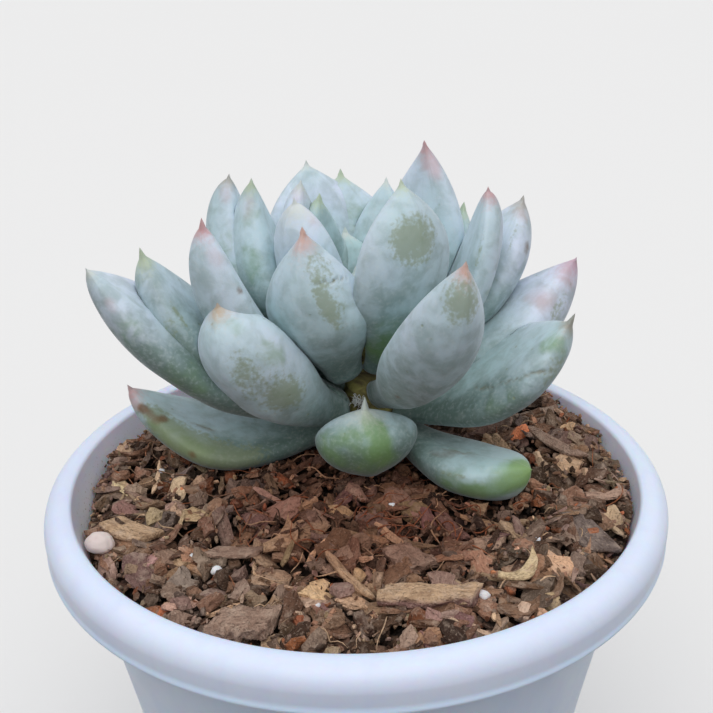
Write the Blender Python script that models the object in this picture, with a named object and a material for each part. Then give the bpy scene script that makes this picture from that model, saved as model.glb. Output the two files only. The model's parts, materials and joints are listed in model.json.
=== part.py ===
"""Potted rosette succulent: a tapered plastic pot with a rolled rim, a bed of bark and fleshy leaves.

Metres, +Z up. The origin is the middle of the pot's foot, where it stands. Azimuths are in degrees,
anticlockwise from +X as seen from above, so 270 is the front.
"""

import math
from typing import NamedTuple

import bmesh
import bpy
from mathutils import Matrix, Vector
from mathutils.bvhtree import BVHTree

MM = 0.001
TURN = 2 * math.pi
CLEARANCE = 0.3 * MM

# Pot
POT_HEIGHT = 90 * MM
RIM_RADIUS = 55 * MM
RIM_DROP = 7 * MM
RIM_CROWN = 3.6 * MM
RIM_INSIDE = 50 * MM
NECK_RADIUS = 48.6 * MM
NECK_DROP = 12 * MM
FOOT_RADIUS = 35.5 * MM
WALL = 1.8 * MM
FLOOR = 2.4 * MM
FOOT_RECESS = 1.5 * MM
FOOT_RING = 4 * MM
CENTRE_DRAIN_RADIUS = 5 * MM
SIDE_DRAIN_RADIUS = 2.4 * MM
SIDE_DRAIN_CIRCLE = 21 * MM
SIDE_DRAINS = 6
POT_SEGMENTS = 56

# Bed of bark
BED_DROP = 4.5 * MM
BED_CROWN = 1.2 * MM
BED_RINGS = 5
BED_GAP = 0.6 * MM
BED_LAYOUT_RADIUS = 48.962 * MM

# Stem
STEM_X = 4 * MM
STEM_Y = 12 * MM
STEM_LEAN_X = -3 * MM
STEM_LEAN_Y = 2 * MM
STEM_HEIGHT = 28 * MM
STEM_SUNK = 9 * MM
STEM_FOOT_RADIUS = 5.4 * MM
STEM_TOP_RADIUS = 3.2 * MM
STEM_SEGMENTS = 16

# Leaves
LEAF_STATIONS = (0.0, 0.1, 0.22, 0.36, 0.5, 0.63, 0.75, 0.85, 0.93, 0.975)
LEAF_SIDES = 10
LEAF_WIDEST = 0.52
LEAF_BASE_WIDTH = 0.34
LEAF_BASE_THICKNESS = 0.5
LEAF_UPPER_SHARE = 0.34


class Leaf(NamedTuple):
    """One leaf. Its chord rises from the stem, its midline curls up, and a low point makes a long tip.

    Height is on the stem above the edge of the bed, and lengths are in millimetres.
    """

    name: str
    height: float
    azimuth: float
    rise: float
    length: float
    width: float
    thickness: float
    curl: float = 30.0
    roll: float = 0.0
    point: float = 2.1


# A leaf gives way to those above it in the list.
LEAVES = (
    Leaf("leaf_front_left", 12.5, 214, 48, 36.8, 18.8, 11.8, 46, 30, 3),
    Leaf("leaf_front_right", 16.2, 293, 48.5, 47, 15, 10, 39, -8, 2.5),
    Leaf("leaf_low_front", 4.5, 265, 55, 19.5, 18.2, 9.5, 58, 10, 2.2),
    Leaf("leaf_right_low", 10.6, 339, 35.5, 39, 19.7, 8.8, 36, 17, 2.4),
    Leaf("leaf_low_right", 8.5, 320, 1, 30, 15, 8.7, 44, -6, 2.9),
    Leaf("leaf_low_left", 7, 181, 12, 42.5, 19, 9, 70, 3, 2.1),
    Leaf("leaf_centre_front", 20.5, 238, 68, 32.2, 19.9, 10.2, 21, 13, 1.5),
    Leaf("leaf_centre_right", 21.5, 298, 77.2, 37.4, 19.6, 8.6, 41, 8, 2.5),
    Leaf("leaf_left_second", 13.2, 193, 43.4, 48, 19.8, 9.9, 52, -14, 2.2),
    Leaf("leaf_far_left", 10.3, 195, 37.8, 54.4, 21.8, 9.6, 23, -15, 2.5),
    Leaf("leaf_left_third", 14, 207, 57.5, 46, 15.8, 8.9, 47, 0, 2.2),
    Leaf("leaf_right_back_near", 16.2, 4, 65.4, 40, 15.7, 7, 43, 0, 2.3),
    Leaf("leaf_far_right", 14.6, 9, 33, 41, 18.4, 10.5, 32, 5, 2.3),
    Leaf("leaf_right_back_far", 17, 21, 49, 40.2, 17.2, 9.2, 29, 0, 2.6),
    Leaf("leaf_left_inner", 19, 177, 69.8, 38, 16.9, 9.4, 35, -2, 1.6),
    Leaf("leaf_left_back", 17.2, 168, 64.5, 42.2, 15.4, 9.6, 53, 2, 2.1),
    Leaf("leaf_inner_left", 23.7, 218, 75, 30.5, 15.3, 7.4, 1, 11, 2.6),
    Leaf("leaf_bud", 26, 100, 73, 17.2, 10.2, 6.1, 9, 0, 1.7),
    Leaf("leaf_inner_back", 24.8, 140, 81.5, 25.4, 12.5, 6.8, 34, 0, 1.8),
    Leaf("leaf_inner_front", 25.2, 265, 84, 14.5, 9.5, 5.6, 10, 0, 1.8),
    Leaf("leaf_inner_right", 24.2, 10, 77, 24, 11.5, 6.6, 26, 0, 1.8),
    Leaf("leaf_back_third", 24, 67, 71, 28.2, 12.1, 6.6, 21, 0, 1.8),
    Leaf("leaf_back_second", 22.8, 99, 63, 31.5, 20.4, 7, 28, 0, 2.1),
    Leaf("leaf_top_right", 19.4, 47, 73.5, 40.9, 18.9, 8.5, 48, 5, 1.7),
    Leaf("leaf_back_pink", 22.5, 150, 78, 30.8, 12.5, 7.3, 29, 0, 1.9),
    Leaf("leaf_back_first", 20.5, 120, 64.5, 35.5, 20.6, 8.3, 20, -6, 2.6),
    Leaf("leaf_back_green", 16, 38, 57, 34, 14, 7.5, 30),
    Leaf("leaf_upper_behind_right", 16.5, 74, 50, 35, 16, 8),
    Leaf("leaf_upper_behind_left", 16.5, 108, 50, 35, 16, 8),
    Leaf("leaf_left_behind", 12, 152, 28, 38, 17, 9, 34),
    Leaf("leaf_behind_right", 11, 48, 32, 40, 17, 9, 34),
    Leaf("leaf_behind_left", 11.5, 100, 36, 38, 17, 9, 34),
    Leaf("leaf_behind_middle", 9, 74, 26, 38, 18, 9, 34),
    Leaf("leaf_behind_far_left", 8.5, 126, 24, 39, 18, 9, 34),
    Leaf("leaf_low_behind", 5, 50, 10, 32, 15, 8, 34),
    Leaf("leaf_low_behind_left", 5, 100, 12, 32, 15, 8, 34),
)


class Chip(NamedTuple):
    """One large piece of bark on the bed, in millimetres and degrees. Bend lifts its ends or drops them."""

    name: str
    x: float
    y: float
    length: float
    width: float
    thickness: float
    heading: float
    tilt: float = 0.0
    bend: float = 0.0


CHIPS = (
    Chip("bark_chunk", 11, -37, 14.5, 4.2, 2.6, -2, 0, 0),
    Chip("bark_plate", 38.3, -20, 11, 4.6, 0.9, -72, 6, 0.3),
    Chip("bark_curl", 26.5, -31, 9.5, 2.4, 0.9, 48, 0, 1.0),
    Chip("bark_front_left", -11.4, -19.8, 8.8, 3.4, 1.2, 65, 8, 0.4),
    Chip("bark_block", -17, -41, 9.5, 6, 2.2, 0, 0, 0),
    Chip("bark_sliver", -1.6, -30, 13.5, 1.6, 1.1, -57, 0, 0.2),
    Chip("bark_tan_left", -38.5, -13.8, 9, 4.6, 1.3, -30, 5, 0.3),
    Chip("bark_flat_left", -19.6, -22.4, 8.8, 3.8, 0.9, -16, -5, 0.3),
    Chip("bark_right", 8.4, -26.6, 7, 4.6, 1.6, -45, 6, 0.2),
    Chip("bark_leaning", 16, -16, 8, 2.6, 1, -66, 10, 0.3),
    Chip("bark_long_right", 37.5, 8, 14, 2.6, 1, -54, 3, 0.5),
)
CHIP_STATIONS = 5

# Pebble
PEBBLE_X = -43 * MM
PEBBLE_Y = -17.2 * MM
PEBBLE_SIZE = (4.9 * MM, 4.2 * MM, 3.6 * MM)
PEBBLE_LIFT = 0.5 * MM


def smooth(x):
    """0 below 0, 1 above 1, and an even S curve between."""
    x = min(max(x, 0.0), 1.0)
    return x * x * (3 - 2 * x)


def circle(radius, count, turn=0.0):
    """Points on a circle about the origin, as (x, y)."""
    steps = [turn + TURN * i / count for i in range(count)]
    return [(radius * math.cos(a), radius * math.sin(a)) for a in steps]


def add_object(name, mesh, colour, roughness):
    """A named object in the scene, with a material of its own."""
    material = bpy.data.materials.new(name)
    material.use_nodes = True
    shader = material.node_tree.nodes["Principled BSDF"]
    shader.inputs["Base Color"].default_value = (*colour, 1)
    shader.inputs["Roughness"].default_value = roughness
    mesh.materials.append(material)
    mesh.shade_smooth()
    mesh.set_sharp_from_angle(angle=math.radians(40))
    obj = bpy.data.objects.new(name, mesh)
    bpy.context.scene.collection.objects.link(obj)
    return obj


def as_mesh(name, bm):
    """A mesh from a bmesh, with every face turned outwards."""
    bmesh.ops.recalc_face_normals(bm, faces=bm.faces)
    mesh = bpy.data.meshes.new(name)
    bm.to_mesh(mesh)
    bm.free()
    return mesh


def lofted(name, rings, end=None):
    """A closed mesh through rings of points, capped at the start, and at a point or a cap at the end."""
    bm = bmesh.new()
    loops = [[bm.verts.new(p) for p in ring] for ring in rings]
    count = len(rings[0])
    for low, high in zip(loops, loops[1:]):
        for i in range(count):
            j = (i + 1) % count
            bm.faces.new((low[i], low[j], high[j], high[i]))
    bm.faces.new(loops[0][::-1])
    if end is None:
        bm.faces.new(loops[-1])
    else:
        tip = bm.verts.new(end)
        for i in range(count):
            bm.faces.new((loops[-1][i], loops[-1][(i + 1) % count], tip))
    return as_mesh(name, bm)


def turned(name, profile, segments):
    """A closed mesh from a closed outline of (radius, z), turned about Z. Points on the axis become one."""
    bm = bmesh.new()
    rings = []
    for radius, z in profile:
        if radius == 0:
            rings.append([bm.verts.new((0, 0, z))] * segments)
        else:
            rings.append([bm.verts.new((x, y, z)) for x, y in circle(radius, segments)])
    for low, high in zip(rings, rings[1:] + rings[:1]):
        for i in range(segments):
            j = (i + 1) % segments
            corners = list(dict.fromkeys((low[i], low[j], high[j], high[i])))
            if len(corners) > 2:
                bm.faces.new(corners)
    return as_mesh(name, bm)


def add_cutter(name, mesh):
    """A hidden object that only cuts others."""
    obj = bpy.data.objects.new(name, mesh)
    obj.hide_render = True
    obj.display_type = "WIRE"
    bpy.context.scene.collection.objects.link(obj)
    return obj


def drill(name, radius, x, y, low, high, segments):
    """A cutter that is an upright cylinder."""
    rings = [[(x + px, y + py, z) for px, py in circle(radius, segments, 0.1)] for z in (low, high)]
    return add_cutter(name, lofted(name, rings))


def cut(obj, tool):
    """Takes the tool's shape out of the object."""
    modifier = obj.modifiers.new(tool.name, "BOOLEAN")
    modifier.operation = "DIFFERENCE"
    modifier.solver = "EXACT"
    modifier.object = tool


def outside_radius(z):
    """The outside of the pot's wall at a height: it flares a little towards the neck."""
    share = z / (POT_HEIGHT - NECK_DROP)
    return FOOT_RADIUS + (NECK_RADIUS - FOOT_RADIUS) * (0.86 * share + 0.14 * share**4)


def inside_radius(z):
    """The inside of the pot's wall at a height, out to the rim."""
    neck_z = POT_HEIGHT - NECK_DROP
    if z < neck_z:
        return outside_radius(z) - WALL
    low = NECK_RADIUS - WALL
    share = (z - neck_z) / (NECK_DROP - RIM_CROWN / 4)
    return low + (RIM_INSIDE - low) * share


def make_pot():
    """The pot: tapered wall, recessed floor with drain holes, and a rounded rim over a cove."""
    top = POT_HEIGHT
    crown = []
    for degrees in range(0, 91, 15):
        a = math.radians(degrees)
        x = RIM_RADIUS - RIM_CROWN * (1 - math.cos(a))
        crown.append((x, top - RIM_CROWN * (1 - math.sin(a))))
    floor_z = FOOT_RECESS + FLOOR
    neck_z = top - NECK_DROP
    wall_heights = [floor_z + (neck_z - floor_z) * share for share in (0.35, 0.7, 0.88, 1.0)]
    profile = [
        (0, FOOT_RECESS),
        (FOOT_RADIUS - FOOT_RING, FOOT_RECESS),
        (FOOT_RADIUS - FOOT_RING + FOOT_RECESS / 2, 0),
        (FOOT_RADIUS - FOOT_RECESS / 2, 0),
        (outside_radius(FOOT_RECESS / 2), FOOT_RECESS / 2),
        *[(outside_radius(z), z) for z in wall_heights],
        (NECK_RADIUS + 1.1 * MM, top - RIM_DROP - 3.2 * MM),
        (NECK_RADIUS + 2.7 * MM, top - RIM_DROP - 1.5 * MM),
        (RIM_RADIUS - 1.2 * MM, top - RIM_DROP - 0.5 * MM),
        (RIM_RADIUS - 0.3 * MM, top - RIM_DROP + 0.5 * MM),
        *crown,
        (RIM_INSIDE + 0.4 * MM, top - 0.25 * MM),
        (RIM_INSIDE, top - RIM_CROWN / 4),
        *[(inside_radius(z), z) for z in reversed(wall_heights)],
        (inside_radius(floor_z), floor_z),
        (0, floor_z),
    ]
    pot = add_object("pot", turned("pot", profile, POT_SEGMENTS), (0.86, 0.88, 0.93), 0.35)
    span = (-FLOOR, floor_z + FLOOR)
    cut(pot, drill("centre_drain_cutter", CENTRE_DRAIN_RADIUS, 0, 0, *span, 20))
    for i, (x, y) in enumerate(circle(SIDE_DRAIN_CIRCLE, SIDE_DRAINS)):
        cut(pot, drill(f"side_drain_cutter_{i + 1}", SIDE_DRAIN_RADIUS, x, y, *span, 12))


def bed_level(x, y):
    """The height of the bed's surface, which is a little higher round the plant."""
    edge = inside_radius(POT_HEIGHT - BED_DROP)
    return POT_HEIGHT - BED_DROP + BED_CROWN * (1 - smooth(math.hypot(x, y) / edge))


def on_bed(x, y):
    """A place on the bed, moved in or out as the pot's mouth is narrower or wider than the layout's."""
    scale = inside_radius(POT_HEIGHT - BED_DROP) / BED_LAYOUT_RADIUS
    return Vector((x * scale, y * scale, 0))


def stem_at(height):
    """The middle of the stem at a height above the edge of the bed, and its radius there."""
    share = max(height / STEM_HEIGHT, 0)
    x = STEM_X + STEM_LEAN_X * share
    y = STEM_Y + STEM_LEAN_Y * share
    middle = Vector((x, y, POT_HEIGHT - BED_DROP + height))
    return middle, STEM_FOOT_RADIUS + (STEM_TOP_RADIUS - STEM_FOOT_RADIUS) * share


def make_bed():
    """The bed of bark: it fills the pot with a clearance, and the stem stands in a hole in it. Returns it."""
    floor_z = FOOT_RECESS + FLOOR + CLEARANCE
    edge_z = POT_HEIGHT - BED_DROP
    neck_z = POT_HEIGHT - NECK_DROP
    edge = inside_radius(edge_z) - CLEARANCE
    radii = [edge * (1 - i / BED_RINGS) for i in range(BED_RINGS)] + [0]
    sides = [floor_z + (neck_z - floor_z) * share for share in (0, 0.5, 0.8, 1.0)]
    profile = [
        (0, floor_z),
        *[(inside_radius(z) - 1.5 * CLEARANCE, z) for z in sides],
        *[(radius, bed_level(radius, 0)) for radius in radii],
    ]
    bed = add_object("bark_bed", turned("bark_bed", profile, POT_SEGMENTS), (0.2, 0.12, 0.08), 0.9)
    low = edge_z - STEM_SUNK - CLEARANCE
    top = edge_z + STEM_HEIGHT
    cut(bed, drill("stem_hole_cutter", STEM_FOOT_RADIUS + BED_GAP, STEM_X, STEM_Y, low, top, STEM_SEGMENTS))
    return bed


def stem_mesh(name, margin=0.0):
    """The stem's mesh, or one that is thicker all round by a margin."""
    rings = []
    for height in (-STEM_SUNK, 0, STEM_HEIGHT / 3, STEM_HEIGHT * 2 / 3, STEM_HEIGHT * 0.93):
        middle, radius = stem_at(height)
        rings.append([middle + Vector((x, y, 0)) for x, y in circle(radius + margin, STEM_SEGMENTS)])
    return lofted(name, rings, stem_at(STEM_HEIGHT)[0] + Vector((0, 0, margin)))


def leaf_width(share, point):
    """A leaf's width at a share of its length, as a share of its greatest width."""
    if share < LEAF_WIDEST:
        return LEAF_BASE_WIDTH + (1 - LEAF_BASE_WIDTH) * smooth(share / LEAF_WIDEST)
    beyond = (share - LEAF_WIDEST) / (1 - LEAF_WIDEST)
    return max(1 - beyond**point, 0) ** 1.15


def leaf_thickness(share, point):
    """A leaf's thickness at a share of its length, as a share of its greatest thickness."""
    if share < LEAF_WIDEST:
        return LEAF_BASE_THICKNESS + (1 - LEAF_BASE_THICKNESS) * smooth(share / LEAF_WIDEST)
    beyond = (share - LEAF_WIDEST) / (1 - LEAF_WIDEST)
    return max(1 - beyond ** (point + 0.7), 0) ** 0.85


def leaf_midline(leaf):
    """The points and directions of a leaf's midline at its stations and its tip."""
    azimuth = math.radians(leaf.azimuth)
    out = Vector((math.cos(azimuth), math.sin(azimuth), 0))

    def direction(share):
        angle = math.radians(leaf.rise + leaf.curl * (share - 0.5))
        return out * math.cos(angle) + Vector((0, 0, math.sin(angle)))

    middle, radius = stem_at(leaf.height * MM)
    half_base = leaf.thickness * MM * LEAF_BASE_THICKNESS / 2
    points = [middle + out * (radius + CLEARANCE + abs(direction(0).z) * half_base)]
    directions = [direction(0)]
    stations = (*LEAF_STATIONS, 1.0)
    for low, high in zip(stations, stations[1:]):
        step = (high - low) * leaf.length * MM
        points.append(points[-1] + direction((low + high) / 2) * step)
        directions.append(direction(high))
    return points, directions


def leaf_mesh(leaf, name, margin=0.0):
    """A leaf's mesh, flatter above and full below, or one that is larger all round by a margin."""
    points, directions = leaf_midline(leaf)
    azimuth, roll = math.radians(leaf.azimuth), math.radians(leaf.roll)
    across = Vector((-math.sin(azimuth), math.cos(azimuth), 0))
    rings = []
    for share, point, direction in zip(LEAF_STATIONS, points, directions):
        upright = direction.cross(across)
        side = across * math.cos(roll) + upright * math.sin(roll)
        upper = upright * math.cos(roll) - across * math.sin(roll)
        half = leaf.width * MM * leaf_width(share, leaf.point) / 2 + margin
        depth = leaf.thickness * MM * leaf_thickness(share, leaf.point)
        ring = []
        for x, y in circle(1, LEAF_SIDES):
            reach = depth * (LEAF_UPPER_SHARE if y > 0 else 1 - LEAF_UPPER_SHARE) + margin
            ring.append(point + side * half * x + upper * reach * y)
        rings.append(ring)
    start = -directions[0] * margin
    rings[0] = [point + start for point in rings[0]]
    return lofted(name, rings, points[-1] + directions[-1] * margin * 3)


def tree_of(mesh):
    """A search tree of a mesh's faces."""
    bm = bmesh.new()
    bm.from_mesh(mesh)
    tree = BVHTree.FromBMesh(bm)
    bm.free()
    return tree


class Press:
    """A shape that dents the pieces it would meet, larger than its own piece by a clearance."""

    def __init__(self, name, mesh):
        self.name = name
        self.mesh = mesh
        self.tree = tree_of(mesh)
        self.cutter = None

    def dent(self, obj, tree):
        """Dents the object, if the search tree of its faces shows that the two would meet."""
        if not tree.overlap(self.tree):
            return
        if self.cutter is None:
            self.cutter = add_cutter(self.name, self.mesh)
        cut(obj, self.cutter)


def make_leaves(bed):
    """Every leaf. Each is dented by the stem and by the leaves before it, and the leaves dent the bed."""
    presses = [Press("stem_press", stem_mesh("stem_press", CLEARANCE))]
    for leaf in LEAVES:
        obj = add_object(leaf.name, leaf_mesh(leaf, leaf.name), (0.5, 0.62, 0.62), 0.55)
        tree = tree_of(obj.data)
        for press in presses:
            press.dent(obj, tree)
        name = f"{leaf.name}_press"
        presses.append(Press(name, leaf_mesh(leaf, name, CLEARANCE)))
    tree = tree_of(bed.data)
    for press in presses[1:]:
        press.dent(bed, tree)


def make_chip(chip):
    """A large piece of bark, tapered at its ends, lying just clear of the bed."""
    length, width, thickness = chip.length * MM, chip.width * MM, chip.thickness * MM
    turn = Matrix.Rotation(math.radians(chip.heading), 4, "Z")
    turn @= Matrix.Rotation(math.radians(chip.tilt), 4, "X")
    rings = []
    for i in range(CHIP_STATIONS):
        along = 2 * i / (CHIP_STATIONS - 1) - 1
        half = width / 2 * (1 - 0.35 * along**2 + 0.12 * math.sin(3 * i + chip.x))
        lift = chip.bend * MM * along**2
        swing = width * 0.12 * math.sin(2 * i + chip.y)
        x = length / 2 * along
        ring = [
            Vector((x, swing - half, lift)),
            Vector((x + 0.1 * width, swing + half, lift)),
            Vector((x + 0.1 * width, swing + half * 0.8, lift + thickness * 0.9)),
            Vector((x, swing - half * 0.7, lift + thickness)),
        ]
        rings.append([turn @ point for point in ring])
    place = on_bed(chip.x * MM, chip.y * MM)
    points = [place + point for ring in rings for point in ring]
    lift = max(bed_level(p.x, p.y) - p.z for p in points) + CLEARANCE
    rings = [[place + point + Vector((0, 0, lift)) for point in ring] for ring in rings]
    add_object(chip.name, lofted(chip.name, rings), (0.36, 0.24, 0.17), 0.85)


def make_pebble():
    """A small pale pebble at the left, by the wall."""
    bm = bmesh.new()
    bmesh.ops.create_icosphere(bm, subdivisions=2, radius=0.5)
    for vert in bm.verts:
        vert.co.x += 0.06 * math.sin(4 * vert.co.y)
        vert.co = Vector(size * c for size, c in zip(PEBBLE_SIZE, vert.co))
        vert.co += on_bed(PEBBLE_X, PEBBLE_Y)
    lift = max(bed_level(v.co.x, v.co.y) - v.co.z for v in bm.verts) + CLEARANCE
    bmesh.ops.translate(bm, verts=bm.verts, vec=(0, 0, lift))
    add_object("pebble", as_mesh("pebble", bm), (0.75, 0.62, 0.6), 0.6)


def main():
    """Clears the scene and builds each piece."""
    for obj in list(bpy.data.objects):
        bpy.data.objects.remove(obj)
    make_pot()
    bed = make_bed()
    add_object("stem", stem_mesh("stem"), (0.3, 0.32, 0.2), 0.8)
    make_leaves(bed)
    for chip in CHIPS:
        make_chip(chip)
    make_pebble()


main()
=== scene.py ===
"""Styled model of a potted rosette succulent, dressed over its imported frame.

A pale powdery rosette grows on a short stem in a bed of shredded bark, in a round white plastic
pot with a rolled rim. Lengths are in metres, +Z is up, and the origin is the middle of the pot's
foot. Azimuths are in degrees, anticlockwise from +X as seen from above, so 270 is the front.
"""

import json
import logging
import math
from dataclasses import dataclass, field
from enum import Enum

import bmesh
import bpy
import numpy as np
from mathutils import Matrix, Vector
from mathutils.bvhtree import BVHTree

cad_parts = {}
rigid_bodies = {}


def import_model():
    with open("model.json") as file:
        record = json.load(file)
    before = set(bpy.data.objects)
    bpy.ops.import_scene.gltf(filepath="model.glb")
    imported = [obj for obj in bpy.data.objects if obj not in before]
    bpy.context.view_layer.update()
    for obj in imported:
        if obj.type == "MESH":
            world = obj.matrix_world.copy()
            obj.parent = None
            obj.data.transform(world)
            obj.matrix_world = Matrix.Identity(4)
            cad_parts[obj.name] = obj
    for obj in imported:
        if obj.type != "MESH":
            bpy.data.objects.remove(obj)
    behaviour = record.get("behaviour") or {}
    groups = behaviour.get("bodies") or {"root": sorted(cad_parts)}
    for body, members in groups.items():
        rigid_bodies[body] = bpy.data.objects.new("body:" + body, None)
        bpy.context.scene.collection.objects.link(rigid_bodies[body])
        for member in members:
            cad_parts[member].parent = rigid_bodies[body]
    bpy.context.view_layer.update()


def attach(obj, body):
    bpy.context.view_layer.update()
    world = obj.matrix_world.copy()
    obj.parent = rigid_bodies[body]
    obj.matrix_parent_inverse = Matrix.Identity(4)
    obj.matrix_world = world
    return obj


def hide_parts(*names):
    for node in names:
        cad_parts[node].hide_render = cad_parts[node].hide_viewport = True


log = logging.getLogger("succulent")

MM = 0.001
BODY = "root"

LEAF_SPARE = 0.3 * MM
LEAF_TOUCH = 0.05 * MM
WALL_SPARE = 0.3 * MM
LOW_LEAVES = 102 * MM
ANY_WAY = (0, 6.283)
FIBRES = 260

Colour = tuple[float, float, float]
Socket = bpy.types.NodeSocket


# ---- shapes


def smooth(x: np.ndarray | float) -> np.ndarray | float:
    """0 below 0, 1 above 1, and an even S curve between."""
    x = np.clip(x, 0.0, 1.0)
    return x * x * (3 - 2 * x)


def ripple(points: np.ndarray, size: float, seed: int, octaves: int = 3) -> np.ndarray:
    """A smooth random field about 0, made of crossed waves, at each point.

    Args:
        points: The points, one on each row.
        size: The width of the broadest waves, in the points' unit.
        seed: The seed that picks the waves.
        octaves: How many times the waves halve in size.

    Returns:
        One value on each row, mostly between -1 and 1.
    """
    rng = np.random.default_rng(seed)
    total = np.zeros(len(points))
    for octave in range(octaves):
        for _ in range(5):
            way = rng.normal(size=3)
            way *= 2 * math.pi * 2**octave / (size * np.linalg.norm(way))
            total += np.sin(points @ way + rng.uniform(0, 2 * math.pi)) / 2**octave
    return total / 4


def loft_faces(rings: int, sides: int) -> list[tuple[int, ...]]:
    """The faces of a tube through rings of points, closed by a point at each end.

    Args:
        rings: How many rings there are.
        sides: How many points each ring has.

    Returns:
        Faces over the rings' points in order, then the start point, then the end point.
    """
    start, end = rings * sides, rings * sides + 1
    faces = []
    for i in range(sides):
        j = (i + 1) % sides
        faces.append((start, j, i))
        for ring in range(rings - 1):
            low, high = ring * sides, (ring + 1) * sides
            faces.append((low + i, low + j, high + j, high + i))
        last = (rings - 1) * sides
        faces.append((last + i, last + j, end))
    return faces


def link_new(name: str, data: bpy.types.ID) -> bpy.types.Object:
    """A new object in the scene, which holds a mesh, a light or a camera.

    Args:
        name: The object's name.
        data: What it holds.

    Returns:
        The new object.
    """
    obj = bpy.data.objects.new(name, data)
    bpy.context.scene.collection.objects.link(obj)
    return obj


def to_mesh(bm: bmesh.types.BMesh, name: str) -> bpy.types.Mesh:
    """Turns an edit mesh into a mesh, and frees it.

    Args:
        bm: The edit mesh.
        name: The mesh's name.

    Returns:
        The new mesh.
    """
    mesh = bpy.data.meshes.new(name)
    bm.to_mesh(mesh)
    bm.free()
    return mesh


def circle_angles(sides: int, start: float = 0.0) -> np.ndarray:
    """Even angles round a circle, in radians, from a share of a step on."""
    return (np.arange(sides) + start) * 2 * math.pi / sides


def new_mesh_object(
    name: str, points: np.ndarray, faces: list[tuple[int, ...]], even: bool = True
) -> bpy.types.Object:
    """A mesh object in the scene.

    Args:
        name: The piece's name.
        points: Its points, one on each row.
        faces: Its faces, as rows of points.
        even: True for smooth shading.

    Returns:
        The new object.
    """
    mesh = bpy.data.meshes.new(name)
    mesh.from_pydata(points.tolist(), [], faces)
    mesh.update()
    mesh.shade_smooth() if even else mesh.shade_flat()
    return link_new(name, mesh)


def set_values(obj: bpy.types.Object, name: str, values: np.ndarray) -> None:
    """Stores a number or a colour on each point of a mesh.

    Args:
        obj: The mesh object.
        name: The attribute's name, which a paint can read.
        values: One number, or three, on each row.
    """
    if values.ndim == 1:
        layer = obj.data.attributes.new(name, "FLOAT", "POINT")
        layer.data.foreach_set("value", values.astype(np.float32))
        return
    layer = obj.data.attributes.new(name, "FLOAT_VECTOR", "POINT")
    layer.data.foreach_set("vector", values.astype(np.float32).ravel())


def turn_to(heading: float, pitch: float, roll: float) -> np.ndarray:
    """A rotation from a piece's own axes, with X along it, to the row frame, from angles in radians."""
    turn = Matrix.Rotation(heading, 3, "Z") @ Matrix.Rotation(-pitch, 3, "Y")
    return np.array(turn @ Matrix.Rotation(roll, 3, "X"))


# ---- paints


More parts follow.
